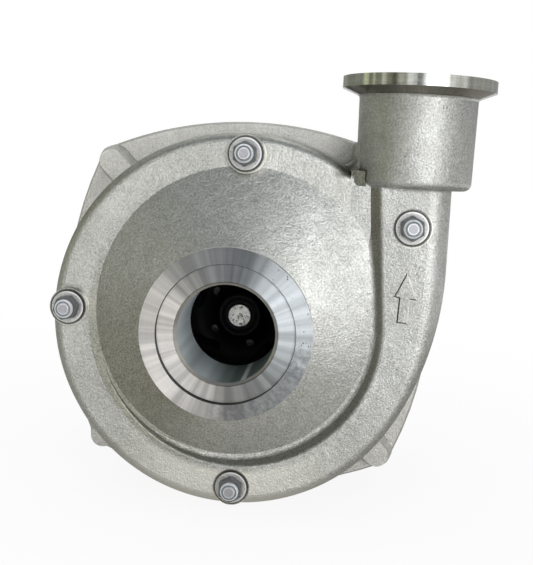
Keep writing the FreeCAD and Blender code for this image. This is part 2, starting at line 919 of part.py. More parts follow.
def screw_directions():
    return [Vector(0, 0, 1), Vector(1, 0, 0)]


def shaft_set_screws():
    # Each cup-point screw sits below the surface, its tip clear of the crankshaft's place or the key.
    screws = []
    centre = set_screw_centre()
    head = quill_r - set_screw_sunk
    for direction, surface in zip(screw_directions(), [crank_r + keyway_height, crank_r]):
        tip = surface + set_screw_tip_gap
        floor = centre + direction * (head - set_screw_socket_depth)
        screw = Part.makeCylinder(set_screw_r, head - tip, centre + direction * tip, direction)
        screws.append(screw.cut(Part.makeCylinder(set_screw_socket / 2, quill_r, floor, direction)))
    return joined(screws)


# Back casing: plate with corner tongues, spigot with the seal chamber, rear hub

def plate_outline():
    # Four shallow arcs that meet at the corners.
    corner = plate_corner()
    bulge = plate_half_width
    return [
        (corner, corner) + (bulge, 0.0),
        (-corner, corner) + (0.0, bulge),
        (-corner, -corner) + (-bulge, 0.0),
        (corner, -corner) + (0.0, -bulge),
    ]


def plate_corner():
    # Where two neighbouring side arcs cross on the 45 degree line.
    inset = plate_side_r - plate_half_width
    return (-inset + math.sqrt(2 * plate_side_r ** 2 - inset ** 2)) / 2


def tongue(angle):
    # Raised pad that narrows towards its flat top, with a round outer end.
    def level(widening, depth):
        half = tongue_half_width + widening
        start = tongue_end_r - tongue_length
        corners = [
            (start, -half),
            (tongue_end_r, -half),
            (tongue_end_r, half) + (tongue_end_r + half, 0.0),
            (start, half),
        ]
        return closed_face(corners, lambda x, z: Vector(x, depth, z)).OuterWire

    foot = level(tongue_foot, joint_depth + overshoot)
    top = level(0.0, joint_depth - tongue_height)
    body = Part.makeLoft([foot, top], True, True)
    body = body.cut(rod(drum_r + tongue_clearance, joint_depth - tongue_height - overshoot, joint_depth))
    body.rotate(Vector(0, 0, 0), Vector(0, 1, 0), -angle)
    return body


def back_casing():
    corners = plate_outline()
    body = slab(corners[-1:] + corners[:-1], joint_depth, plate_back_depth)
    body = rounded(body, plate_corner_round, lambda edge: edge.BoundBox.YLength > 1)
    body = bevelled(body, plate_edge_bevel, lambda edge: edge.BoundBox.YLength < 0.01)
    inside = slab(corners[-1:] + corners[:-1], joint_depth - tongue_height - 2, plate_back_depth)
    for angle in (135.0, 225.0, 315.0):
        body = body.fuse(tongue(angle).common(inside))
    spigot = rod(spigot_r, wet_face_depth, joint_depth)
    body = body.fuse(bevelled(spigot, spigot_end_bevel, lambda edge: is_ring(edge, spigot_r, wet_face_depth)))
    body = body.fuse(rod(rear_hub_r, plate_back_depth, rear_hub_depth))
    pocket_inner = rear_hub_r + pocket_hub_wall
    pocket_outer = spigot_r - spigot_wall
    pocket = tube(pocket_outer, pocket_inner, wet_face_depth + spigot_wall, plate_back_depth + overshoot)
    body = body.cut(pocket)
    seat_r = seat_outer_r + seat_cup_wall
    chamber_back = seal_face_depth - seat_proud
    seat_back = seal_face_depth + seat_thickness + seat_cup_floor
    body = body.cut(rod(seal_chamber_r, wet_face_depth - overshoot, chamber_back))
    body = body.cut(rod(seat_r + press_gap, chamber_back - overshoot, seat_back))
    body = body.cut(rod(shaft_r + shaft_hole_gap, seat_back - overshoot, rear_hub_depth + overshoot))
    groove_front = seal_ring_depth - seal_groove_width / 2
    groove_back = groove_front + seal_groove_width
    groove_r = spigot_r - seal_ring_size - press_gap
    body = body.cut(tube(spigot_r + overshoot, groove_r, groove_front, groove_back))
    for x, z in stud_centres():
        body = body.cut(rod(stud_r + thread_gap, joint_depth - overshoot, plate_back_depth + overshoot, x, z))
    for x, z in corner_screws():
        body = body.cut(rod(corner_screw_r + thread_gap, plate_back_depth - corner_screw_grip - drill_end_gap,
                            plate_back_depth + overshoot, x, z))
    return body.removeSplitter()


def casing_seal_ring():
    front = seal_ring_depth - seal_ring_size / 2
    return tube(spigot_r, spigot_r - seal_ring_size, front, front + seal_ring_size)


# Shaft seal

def seal_seat():
    return turned([
        (seat_inner_r, seal_face_depth),
        (seat_outer_r - seat_step, seal_face_depth),
        (seat_outer_r - seat_step, seal_face_depth + seat_proud),
        (seat_outer_r, seal_face_depth + seat_proud),
        (seat_outer_r, seal_face_depth + seat_thickness),
        (seat_inner_r, seal_face_depth + seat_thickness),
    ])


def seat_cup():
    outer = seat_outer_r + seat_cup_wall
    front = seal_face_depth + seat_cup_front
    back = seal_face_depth + seat_thickness + seat_cup_floor
    return turned([
        (seat_outer_r + film_gap, front),
        (outer - seat_cup_bevel, front),
        (outer, front + seat_cup_bevel),
        (outer, back),
        (seat_inner_r + seat_cup_lip, back),
        (seat_inner_r + seat_cup_lip, seal_face_depth + seat_thickness),
        (seat_outer_r + film_gap, seal_face_depth + seat_thickness),
    ])


def face_ring_front():
    return seal_face_depth - film_gap - face_ring_thickness


def seal_face_ring():
    back = seal_face_depth - film_gap
    front = face_ring_front()
    return turned([
        (face_ring_inner_r, front),
        (face_ring_outer_r, front),
        (face_ring_outer_r, back - face_ring_step),
        (face_ring_outer_r - face_ring_step, back - face_ring_step),
        (face_ring_outer_r - face_ring_step, back),
        (face_ring_inner_r, back),
    ])


def shell_front():
    return face_ring_front() + shell_overlap - shell_length


def retainer_back():
    return hub_back_depth + retainer_thickness


def seal_bellows():
    # Rubber sleeve that grips the shaft, with one fold and a thick rim behind the face ring.
    inner = shaft_r + press_gap
    outer = inner + bellows_wall
    back = face_ring_front()
    fold = shell_front() - bellows_fold_gap
    rim = shell_r - shell_wall - bellows_fit_gap
    rim_front = shell_front() + shell_wall + bellows_rim_gap
    return turned([
        (inner, retainer_back()),
        (outer, retainer_back()),
        (outer, fold - bellows_bulge),
        (outer + bellows_bulge, fold),
        (outer, fold + bellows_bulge),
        (outer, rim_front),
        (rim, rim_front + bellows_rim_rise),
        (rim, back),
        (inner, back),
    ])


def seal_shell():
    front = shell_front()
    return turned([
        (shell_r - shell_lip, front),
        (shell_r - shell_corner, front),
        (shell_r, front + shell_corner),
        (shell_r, front + shell_length),
        (shell_r - shell_wall, front + shell_length),
        (shell_r - shell_wall, front + shell_wall),
        (shell_r - shell_lip, front + shell_wall),
    ])


def spring_retainer():
    inner = shaft_r + bellows_wall + retainer_gap
    return turned([
        (inner, hub_back_depth),
        (shell_r, hub_back_depth),
        (shell_r, hub_back_depth + retainer_rim),
        (shell_r - shell_wall, hub_back_depth + retainer_rim),
        (shell_r - shell_wall, retainer_back()),
        (inner, retainer_back()),
    ])


def seal_spring():
    # Flat wire wound from the retainer back to the shell.
    front = retainer_back() + spring_wire_height / 2
    height = shell_front() - spring_wire_height / 2 - front
    outer = shell_r - shell_wall - running_gap
    inner = outer - spring_wire_width
    half = spring_wire_height / 2
    path = Part.Wire(Part.makeHelix(height / spring_turns, height, (inner + outer) / 2).Edges)
    corners = [(inner, -half), (outer, -half), (outer, half), (inner, half)]
    section = closed_face(corners, lambda r, z: Vector(r, 0, z)).OuterWire
    coil = path.makePipeShell([section], True, True)
    coil.rotate(Vector(0, 0, 0), Vector(1, 0, 0), -90)
    coil.translate(Vector(0, front, 0))
    return coil


# Slinger ring, a rubber disc that throws leaking drops off the shaft

def slinger_ring():
    back = quill_front_depth
    front = back - slinger_thickness
    return turned([
        (shaft_r + press_gap, front),
        (shaft_r + slinger_front_root, front),
        (slinger_r, front + slinger_dish),
        (slinger_r, front + slinger_dish + slinger_edge),
        (shaft_r + slinger_back_root, back),
        (shaft_r + press_gap, back),
    ])


# Engine adapter: front flange with four lugs, barrel with windows, ribs, engine flange with its pilot

def corner_screws():
    place = corner_screw_place
    return [(place, place), (-place, place), (-place, -place), (place, -place)]


def lug(angle):
    reach = math.hypot(corner_screw_place, corner_screw_place)
    half = adapter_lug_r
    corners = [
        (adapter_barrel_r - barrel_sink, -half - adapter_lug_flare),
        (reach, -half),
        (reach, half) + (reach + half, 0.0),
        (adapter_barrel_r - barrel_sink, half + adapter_lug_flare),
    ]
    arm = slab(corners, adapter_front_depth, adapter_front_depth + adapter_front_thickness)
    arm.rotate(Vector(0, 0, 0), Vector(0, 1, 0), -angle)
    return arm


def rib(angle):
    # Triangular web from the front flange down to the engine flange.
    half = rib_thickness / 2
    inner = adapter_barrel_r - barrel_sink
    points = [
        Vector(inner, adapter_front_depth + overshoot, -half),
        Vector(rib_front_r, adapter_front_depth + overshoot, -half),
        Vector(adapter_flange_r - rib_end_inset, adapter_flange_depth + overshoot, -half),
        Vector(inner, adapter_flange_depth + overshoot, -half),
    ]
    web = Part.Face(Part.makePolygon(points + points[:1])).extrude(Vector(0, 0, rib_thickness))
    web.rotate(Vector(0, 0, 0), Vector(0, 1, 0), -angle)
    return web


def window(width, front, back, direction):
    # Round-cornered opening through the barrel wall, looking along +X before it is turned.
    block = Part.makeBox(adapter_flange_r, back - front, width, Vector(0, front, -width / 2))
    block = rounded(block, window_round, lambda edge: edge.BoundBox.XLength > 1)
    block.rotate(Vector(0, 0, 0), Vector(0, 1, 0), -direction)
    return block


def engine_adapter():
    front = adapter_front_depth
    body = rod(adapter_front_r, front, front + adapter_front_thickness)
    body = body.fuse([lug(45 + 90 * corner) for corner in range(4)])
    body = body.fuse(rod(adapter_barrel_r, front, pump_length))
    flange = rod(adapter_flange_r, adapter_flange_depth, pump_length)
    body = body.fuse(bevelled(flange, adapter_bevel, lambda edge: edge.BoundBox.YLength < 0.01))
    ribs = [rib(45 + 90 * corner + side * rib_offset_angle) for corner in range(4) for side in (-1, 1)]
    body = body.fuse(ribs)
    body = body.cut(rod(adapter_barrel_r - adapter_barrel_wall, front - overshoot, pump_length + overshoot))
    body = body.cut(rod(pilot_r, pump_length - pilot_drop, pump_length + overshoot))
    middle = (front + adapter_front_thickness + adapter_flange_depth) / 2
    window_front = middle - window_length / 2
    window_back = middle + window_length / 2
    for width, direction in ((window_width, 0.0), (window_width, 180.0), (drain_width, 270.0)):
        body = body.cut(window(width, window_front, window_back, direction))
    for x, z in corner_screws():
        hole_back = front + adapter_front_thickness + overshoot
        body = body.cut(rod(corner_screw_r + bolt_gap, front - overshoot, hole_back, x, z))
    for corner in range(4):
        x, z = polar(engine_circle_r, 45 + 90 * corner)
        body = body.cut(rod(engine_hole_r, adapter_flange_depth - overshoot, pump_length + overshoot, x, z))
    return body.removeSplitter()


def adapter_screws():
    seat = adapter_front_depth + adapter_front_thickness + lock_washer_thickness
    screws = []
    for x, z in corner_screws():
        shank = rod(corner_screw_r, plate_back_depth - corner_screw_grip, seat, x, z)
        head = hexagon(corner_head_flats, seat, seat + corner_head_height, x, z, corner_head_turn)
        wide = corner_head_flats / math.sqrt(3) + corner_head_slope
        narrow = corner_head_flats / 2 - corner_head_crown
        dome = Part.makeCone(wide, narrow, corner_head_height, Vector(x, seat, z), Vector(0, 1, 0))
        screws.append(head.common(dome).fuse(shank))
    return joined(screws)


def adapter_lock_washers():
    # Split spring washers, the split turned outwards.
    front = adapter_front_depth + adapter_front_thickness
    washers = []
    for x, z in corner_screws():
        ring = tube(lock_washer_r, corner_screw_r + running_gap, front, front + lock_washer_thickness, x, z)
        thickness = lock_washer_thickness + 2 * overshoot
        split = Part.makeBox(lock_washer_r + overshoot, thickness, lock_washer_split,
                             Vector(0, front - overshoot, -lock_washer_split / 2))
        split.rotate(Vector(0, 0, 0), Vector(0, 1, 0), -math.degrees(math.atan2(z, x)))
        split.translate(Vector(x, 0, z))
        washers.append(ring.cut(split))
    return joined(washers)


pieces = [
    volute_casing, casing_studs, stud_washers, stud_nuts, nut_lock_rings, wear_ring,
    impeller, impeller_insert, hub_seal_ring, pump_shaft, shaft_set_screws, back_casing, casing_seal_ring,
    seal_seat, seat_cup, seal_face_ring, seal_bellows, seal_shell, seal_spring, spring_retainer,
    slinger_ring, engine_adapter, adapter_screws, adapter_lock_washers,
]

os.makedirs("parts", exist_ok=True)
for piece in pieces:
    save(piece(), piece.__name__)
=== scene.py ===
import bpy
import numpy as np
from mathutils import Matrix, Vector
from mathutils.bvhtree import BVHTree


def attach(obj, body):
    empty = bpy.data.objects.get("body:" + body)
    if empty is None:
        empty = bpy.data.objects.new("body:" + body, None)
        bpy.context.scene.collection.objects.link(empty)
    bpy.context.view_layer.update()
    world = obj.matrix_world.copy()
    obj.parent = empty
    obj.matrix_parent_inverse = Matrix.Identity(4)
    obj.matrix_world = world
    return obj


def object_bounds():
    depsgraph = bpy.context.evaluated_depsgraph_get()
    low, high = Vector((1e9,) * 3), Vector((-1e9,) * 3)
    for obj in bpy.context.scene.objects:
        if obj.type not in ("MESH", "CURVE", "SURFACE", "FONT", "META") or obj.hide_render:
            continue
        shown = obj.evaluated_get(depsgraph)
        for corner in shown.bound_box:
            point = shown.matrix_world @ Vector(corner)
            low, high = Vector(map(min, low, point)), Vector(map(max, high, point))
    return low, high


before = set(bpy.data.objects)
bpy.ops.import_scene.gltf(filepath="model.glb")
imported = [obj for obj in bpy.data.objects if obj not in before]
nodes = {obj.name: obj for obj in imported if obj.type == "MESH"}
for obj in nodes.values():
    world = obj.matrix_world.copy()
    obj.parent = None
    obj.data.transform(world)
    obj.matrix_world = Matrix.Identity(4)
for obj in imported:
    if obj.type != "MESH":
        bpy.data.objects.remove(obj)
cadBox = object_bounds()
print("frame loaded:", len(nodes), "nodes")


# Camera: stands where the photograph was taken, a little above and to the right of the suction axis

photoCamera = {
    "place": (0.05356, -0.67671, 0.08131),
    "right": (0.99525, 0.08254, 0.05154),
    "up": (-0.06083, 0.11440, 0.99157),
    "back": (0.07595, -0.99000, 0.11888),
    "focalPixels": 1000.0,
    "pictureHeight": 565,
    "sensor": 36.0,
}


def addCamera(look):
    data = bpy.data.cameras.new("photoCamera")
    data.sensor_fit = "AUTO"
    data.sensor_width = look["sensor"]
    data.lens = look["focalPixels"] * look["sensor"] / look["pictureHeight"]
    data.clip_start = 0.01
    data.clip_end = 50.0
    camera = bpy.data.objects.new("photoCamera", data)
    turn = Matrix((look["right"], look["up"], look["back"])).transposed()
    camera.matrix_world = Matrix.Translation(look["place"]) @ turn.to_4x4()
    bpy.context.scene.collection.objects.link(camera)
    bpy.context.scene.camera = camera


addCamera(photoCamera)
print("camera placed")


# Node helpers: a value is a number, a colour or another node's socket

def addNode(tree, kind, inputs=None, **settings):
    made = tree.nodes.new(kind)
    for name, value in settings.items():
        setattr(made, name, value)
    for name, value in (inputs or {}).items():
        if isinstance(value, bpy.types.NodeSocket):
            tree.links.new(value, made.inputs[name])
        else:
            made.inputs[name].default_value = value
    return made

def calc(tree, operation, *values):
    return addNode(tree, "ShaderNodeMath", dict(enumerate(values)), operation=operation).outputs[0]


def product(tree, total, *values):
    for value in values:
        total = calc(tree, "MULTIPLY", total, value)
    return total


def stretch(tree, value, low, high, toLow=0.0, toHigh=1.0):  # low to high becomes toLow to toHigh
    made = addNode(tree, "ShaderNodeMapRange", {"Value": value, "From Min": low, "From Max": high,
                                                "To Min": toLow, "To Max": toHigh}, clamp=True)
    return made.outputs["Result"]


def noise(tree, place, size, detail=3.0, roughness=0.55):  # size: metres from one blotch to the next
    return addNode(tree, "ShaderNodeTexNoise", {"Vector": place, "Scale": 1.0 / size, "Detail": detail,
                                                "Roughness": roughness}).outputs["Fac"]


noiseSpan = (0.3, 0.7)  # nearly all of a noise lies between these


def spread(tree, value, toLow=0.0, toHigh=1.0):  # a noise drawn out to its whole span
    return stretch(tree, value, *noiseSpan, toLow, toHigh)


def cells(tree, place, size):  # 0 in the middle of each round spot, growing outwards
    return addNode(tree, "ShaderNodeTexVoronoi", {"Vector": place, "Scale": 1.0 / size}).outputs["Distance"]


def blend(tree, share, first, second):
    made = addNode(tree, "ShaderNodeMix", data_type="RGBA")
    for name, value in ((0, share), (6, first), (7, second)):
        if isinstance(value, bpy.types.NodeSocket):
            tree.links.new(value, made.inputs[name])
        else:
            made.inputs[name].default_value = value if name == 0 else (*value, 1.0)
    return made.outputs[2]


def blendValue(tree, share, first, second):
    difference = calc(tree, "SUBTRACT", second, first)
    return calc(tree, "MULTIPLY_ADD", difference, share, first)


def startMaterial(name):
    material = bpy.data.materials.new(name)
    material.use_nodes = True
    tree = material.node_tree
    tree.nodes.clear()
    place = addNode(tree, "ShaderNodeTexCoord").outputs["Object"]
    return material, tree, place


def endMaterial(tree, colour, roughness, height, depth, metallic, extra=None):
    bump = addNode(tree, "ShaderNodeBump", {"Height": height, "Distance": depth, "Strength": 1.0})
    inputs = {"Base Color": colour, "Roughness": roughness, "Normal": bump.outputs["Normal"],
              "Metallic": metallic}
    shader = addNode(tree, "ShaderNodeBsdfPrincipled", {**inputs, **(extra or {})})
    addNode(tree, "ShaderNodeOutputMaterial", {"Surface": shader.outputs[0]})


def vectorCalc(tree, operation, first, second=None, output="Vector"):
    inputs = {0: first} if second is None else {0: first, 1: second}
    return addNode(tree, "ShaderNodeVectorMath", inputs, operation=operation).outputs[output]


def lengthOf(tree, vector):
    return vectorCalc(tree, "LENGTH", vector, output="Value")


def alignment(tree, vector, direction):  # 1 along the direction, 0 across it, -1 against it
    return vectorCalc(tree, "DOT_PRODUCT", vector, direction, output="Value")


def towards(tree, vector, direction, low, high):  # 0 to 1 as the vector turns to a direction
    return stretch(tree, alignment(tree, vector, direction), low, high)


def inside(tree, value, low, high):  # 1 between low and high, else 0
    return product(tree, calc(tree, "GREATER_THAN", value, low), calc(tree, "LESS_THAN", value, high))


def splitPlace(tree, place):
    return list(addNode(tree, "ShaderNodeSeparateXYZ", {0: place}).outputs)


def surfaceNormal(tree):
    return addNode(tree, "ShaderNodeNewGeometry").outputs["Normal"]


def acrossAxis(tree, place, centre, axis):  # vector from an axis through centre, along y or z
    flat = (1.0, 0.0, 1.0) if axis == "y" else (1.0, 1.0, 0.0)
    return vectorCalc(tree, "MULTIPLY", vectorCalc(tree, "SUBTRACT", place, centre), flat)


def radiusFrom(tree, place, centre, axis):  # distance from that axis
    return lengthOf(tree, acrossAxis(tree, place, centre, axis))


def shadeBy(tree, share, colour, shade):  # the colour times a shade, by that share
    return blend(tree, share, colour, vectorCalc(tree, "MULTIPLY", colour, shade))


creviceSpan = (0.75, 0.25)  # how open a place is where the painted shade starts, and where it is darkest


def addCreviceShade(tree, colour, look):  # painted shade in corners and along seams, none on open faces
    openness = addNode(tree, "ShaderNodeAmbientOcclusion", {"Distance": look["grimeReach"]}, samples=8)
    crevice = stretch(tree, openness.outputs["AO"], *creviceSpan)
    return blend(tree, product(tree, crevice, look["grimeShare"]), colour, look["grime"])


# Where the four casing studs stand, seen from the front

suctionAxis = (0.0, 0.0, 0.0)
studPlaces = [(0.00134, 0.0, 0.08519), (-0.08677, 0.0, 0.00242),
              (0.00212, 0.0, -0.08677), (0.08630, 0.0, 0.05270)]
studReach = 0.012  # a stud, its nut, washer and seat lie within this radius


def aroundStud(tree, place, direction):  # how far the way out from the nearest stud turns to a direction
    total = 0.0
    for stud in studPlaces:
        offset = acrossAxis(tree, place, stud, "y")
        near = calc(tree, "LESS_THAN", lengthOf(tree, offset), studReach)
        match = alignment(tree, vectorCalc(tree, "NORMALIZE", offset), direction)
        total = calc(tree, "MULTIPLY_ADD", near, match, total)
    return total


def fromStud(tree, place):  # distance from the nearest stud's axis
    nearest = radiusFrom(tree, place, studPlaces[0], "y")
    for stud in studPlaces[1:]:
        nearest = calc(tree, "MINIMUM", nearest, radiusFrom(tree, place, stud, "y"))
    return nearest


# Cast skin: blotches, waves and a fine grain mixed into one tone, with small pits in groups and bright flecks

castSkin = {
    "waveSize": 6.0,                      # times the grain's
    "grainSpan": (0.38, 0.62),
    "toneShares": (0.6, 0.15, 0.25),      # of the grain, the waves and the blotches
    "pitSpan": (0.18, 0.09),              # from a pit's rim inwards
    "pitGroup": 4.0,                      # times the pits' size
    "pitGroupSpan": (0.50, 0.62),
    "pitShare": 0.5,
    "fleckSize": 0.9,                     # times the grain's
    "fleckSpan": (0.66, 0.76),
    "fleckShare": 0.6,
    "waveRise": 1.2,
    "pitDrop": 0.5,
}


def castSurface(tree, place, look, skin=castSkin):
    blotch = noise(tree, place, look["blotch"], 5.0, 0.6)
    grain = noise(tree, place, look["grain"], 3.0, 0.6)
    waves = noise(tree, place, look["grain"] * skin["waveSize"], 2.0)
    groups = noise(tree, place, look["pitSize"] * skin["pitGroup"])
    pitted = product(tree, stretch(tree, cells(tree, place, look["pitSize"]), *skin["pitSpan"]),
                     stretch(tree, groups, *skin["pitGroupSpan"]))
    fleck = stretch(tree, noise(tree, place, look["grain"] * skin["fleckSize"], 1.0), *skin["fleckSpan"])

    grainShare, waveShare, blotchShare = skin["toneShares"]
    tone = calc(tree, "MULTIPLY_ADD", spread(tree, waves), waveShare, spread(tree, blotch, 0.0, blotchShare))
    tone = calc(tree, "MULTIPLY_ADD", stretch(tree, grain, *skin["grainSpan"]), grainShare, tone)
    colour = blend(tree, tone, look["deep"], look["pale"])
    colour = blend(tree, product(tree, fleck, skin["fleckShare"]), colour, look["fleckColour"])
    colour = blend(tree, product(tree, pitted, skin["pitShare"]), colour, look["pitColour"])
    # painted shade in corners and along seams
    colour = addCreviceShade(tree, colour, look)

    rough = spread(tree, blotch, look["rough"][1], look["rough"][0])
    height = calc(tree, "MULTIPLY_ADD", waves, skin["waveRise"], grain)
    height = calc(tree, "SUBTRACT", height, product(tree, pitted, skin["pitDrop"]))
    return colour, rough, height


# Cast stainless steel, blasted with fine sand

castSteel = {
    "pale": (0.72, 0.725, 0.70),
    "deep": (0.34, 0.345, 0.325),
    "blotch": 0.022,
    "grain": 0.0009,
    "grainDepth": 0.00022,
    "pitSize": 0.0026,
    "pitColour": (0.20, 0.20, 0.19),
    "fleckColour": (0.88, 0.89, 0.88),
    # the colour of all painted shade on this metal
    "grime": (0.06, 0.058, 0.05),
    "grimeReach": 0.0045,
    "grimeShare": 0.75,
    "rough": (0.32, 0.44),
    "metallic": 0.92,
    "aboveTowards": (-0.30, 0.0, 0.95),   # painted shade where it faces up
    "aboveSpan": (0.25, 0.85),
    "aboveShade": (0.50, 0.50, 0.47),
}

# The casing's painted light and painted shade

casingPaintedLight = {
    # painted highlight: the flat band painted lighter, most low down, and one side of each stud seat's edge
    "paintedHighlight": (0.97, 0.96, 0.90),
    "bandFrom": 0.0770,                   # radius where the flat band starts
    "bandEdge": 0.0030,
    "bandEndX": 0.0550,
    "bandShare": 0.16,
    "lowTowards": (-0.05, 0.0, -1.0),     # the painted highlight on the band is strongest low down
    "lowSpan": (0.72, 0.98),
    "lowShare": 0.7,
    "coneFrom": 0.0400,
    "coneTowards": (-0.85, 0.0, -0.53),   # painted shade on the cone, low on the left
    "coneSpan": (0.55, 0.97),
    "coneShade": (0.76, 0.75, 0.67),
    "flankTowards": (-1.0, 0.0, -0.1),    # painted shade on the leg's left flank, where it faces left
    "flankSpan": (0.35, 0.95),
    "flankFromX": 0.0450,
    "flankTopZ": 0.0715,
    "flankShade": (0.50, 0.47, 0.40),
    "seatRingIn": (0.0080, 0.0082),       # painted shade on the stud seats, just outside the washers
    "seatRingOut": (0.0096, 0.0091),
    "seatEdge": (0.0095, 0.0101),         # and a painted highlight on one side of each seat's edge
    "seatEdgeTowards": (0.8, 0.0, -0.6),
    "seatEdgeSpan": (-0.1, 0.5),
    "seatShare": 0.7,
    "footCorner": (0.0592, 0.0752),       # x and z, middle of the rounded corner of the cup's shadow
    "footRadius": 0.0031,
    "footSoft": 0.0002,
    "footX": (0.0500, 0.0622),
    "footTopZ": 0.0803,
    "footDepth": (-0.1775, -0.1500),
    "footShade": (0.25, 0.25, 0.21),
    "webStartX": (0.0440, 0.0500),
    "webEndX": (0.0562, 0.0582),          # below and above the shadow's top
    "webStartZ": (0.0750, 0.0772),
    "webEndZ": (0.0885, 0.0815),
}

# The casing's turned faces: suction face with its step, both bores, and the discharge flange

turnedFaces = {
    "suctionFaceY": -0.216,
    "faceSlack": 0.0004,
    "slack": 0.0001,
    "stepDrop": 0.0012,
    "stepRadius": 0.0333,
    "stepLine": (0.00014, 0.00050),
    "stepLineTowards": (-0.45, 0.0, -0.89),   # the painted shade line in the step is thickest here
    "stepLineSpan": (0.2, 0.95),
    "lineColour": (0.08, 0.085, 0.08),
    "rimDepth": 0.0092,
    "rimRadius": 0.0318,
    "boreRadius": 0.0235,
    "boreEnd": -0.1716,
    "bevelWidth": 0.0016,
    "bevelDepth": 0.0028,
    "bevelShade": (0.60, 0.58, 0.54),
    "dischargeAxis": (0.0865, -0.154, 0.0),
    "dischargeFaceZ": 0.1270,
    "dischargeRim": 0.0090,
    "taperFrom": 0.00575,                 # under the discharge rim
    "taperShade": (0.50, 0.47, 0.43),
    "bright": (0.97, 0.97, 0.96),
    "dull": (0.58, 0.585, 0.58),
    # the rim's painted dark reflection, the dark end of its streaked tone
    "rimDarkReflection": (0.20, 0.22, 0.15),
    "ringWidth": 0.00045,
    "ringDepth": 0.000035,
    "broadRing": 9.0,                     # times the fine rings' width
    "streakWidth": 0.10,
    "streakSpan": (0.32, 0.68),
    "broadStreak": 6.0,                   # times the fine streaks' width
    "broadStreakSpan": (0.38, 0.62),
    "cloud": 0.012,
    "ringShares": (0.20, 0.15),           # how much of the tone the fine and the broad rings are
    "cloudShare": 0.20,
    "streakShares": (0.30, 0.25),         # and the fine and the broad streaks
    "spokeTowards": (0.914, 0.0, 0.407),  # where the painted reflection of the spokes is brightest
    "spokeRagged": (0.5, 0.25),
    "spokeSpan": (0.62, 0.86),
    "spokeWider": 0.26,                   # on the left
    "spokeWiderSpan": (0.0, -0.4),
    "spokeDark": 0.56,
    "spokeTints": ((1.0, 0.97, 0.945), (0.82, 0.87, 0.92)),   # tints of the painted reflection, left and right
    "spokeTintSpan": (-0.6, 0.6),
    "patchWidth": 0.16,
    "patchSpan": (0.38, 0.62),
    "patchShade": (0.76, 1.14),
    "mottle": (0.24, 0.25, 0.27),
    "mottleSize": 0.0026,
    "mottleSpan": (0.42, 0.58),
    "mottleTowards": (0.62, 0.0, -0.78),
    "mottleReach": (0.60, 0.85),
    "mottleShare": 0.75,
    "pits": (0.07, 0.07, 0.075),
    "pitSize": 0.0016,
    "pitSpan": (0.30, 0.16),
    "pitGroup": 0.0045,
    "pitGroupSpan": (0.50, 0.60),
    "pitsTowards": (0.90, 0.0, 0.43),
    "pitsReach": (0.72, 0.90),
    "pitShare": 0.9,
    "boreColours": ((0.13, 0.17, 0.15), (0.88, 0.95, 1.0)),   # painted reflections, dark low down and bright on the left
    "boreTowards": (-0.98, 0.0, 0.17),
    "boreSpan": (-0.1, 0.9),
    "boreRagged": 1.8,
    "boreRough": 0.40,
    "boreMetallic": 0.35,
    # a painted glint low in the bore
    "glintTowards": (0.39, 0.0, -0.92),
    "glintSpan": (0.9965, 0.9990),
    "glintShare": 0.6,
    "rough": (0.34, 0.44),
    "rimRough": 0.17,
    "stretched": 0.88,
}


def ragged(tree, value, by, total):  # total, moved to and fro by a noise
    return calc(tree, "MULTIPLY_ADD", calc(tree, "SUBTRACT", value, 0.5), by, total)


# Painted reflection: the two bright spokes of a turned face, opposite each other, with ragged edges
def spokeShine(tree, outwards, around, streak, broadStreak, colour, look):
    match = alignment(tree, outwards, look["spokeTowards"])
    broadRagged, fineRagged = look["spokeRagged"]
    spoke = ragged(tree, broadStreak, broadRagged, calc(tree, "ABSOLUTE", match))
    spoke = ragged(tree, streak, fineRagged, spoke)
    spoke = calc(tree, "ADD", spoke, stretch(tree, match, *look["spokeWiderSpan"], 0.0, look["spokeWider"]))
    shade = blendValue(tree, stretch(tree, spoke, *look["spokeSpan"]), look["spokeDark"], 1.0)
    outer = addNode(tree, "ShaderNodeCombineXYZ", {1: calc(tree, "GREATER_THAN", around, look["stepRadius"])})
    patch = noise(tree, vectorCalc(tree, "ADD", outwards, outer.outputs[0]), look["patchWidth"], 2.0)
    shade = product(tree, shade, stretch(tree, patch, *look["patchSpan"], *look["patchShade"]))
    tint = blend(tree, stretch(tree, match, *look["spokeTintSpan"]), *look["spokeTints"])
    tint = addNode(tree, "ShaderNodeVectorMath", {0: tint, "Scale": shade}, operation="SCALE").outputs[0]
    return vectorCalc(tree, "MULTIPLY", tint, colour)


# Outside the step: grey mottling low on the right, small dark pits on the right
def outerMarks(tree, place, outwards, outerRing, colour, look):
    mottle = noise(tree, place, look["mottleSize"], 5.0, 0.75)
    mottled = product(tree, stretch(tree, mottle, *look["mottleSpan"]),
                      towards(tree, outwards, look["mottleTowards"], *look["mottleReach"]))
    colour = blend(tree, product(tree, mottled, outerRing, look["mottleShare"]), colour, look["mottle"])
    pitted = product(tree, stretch(tree, cells(tree, place, look["pitSize"]), *look["pitSpan"]),
                     stretch(tree, noise(tree, place, look["pitGroup"]), *look["pitGroupSpan"]),
                     towards(tree, outwards, look["pitsTowards"], *look["pitsReach"]))
    return blend(tree, product(tree, pitted, outerRing, look["pitShare"]), colour, look["pits"])


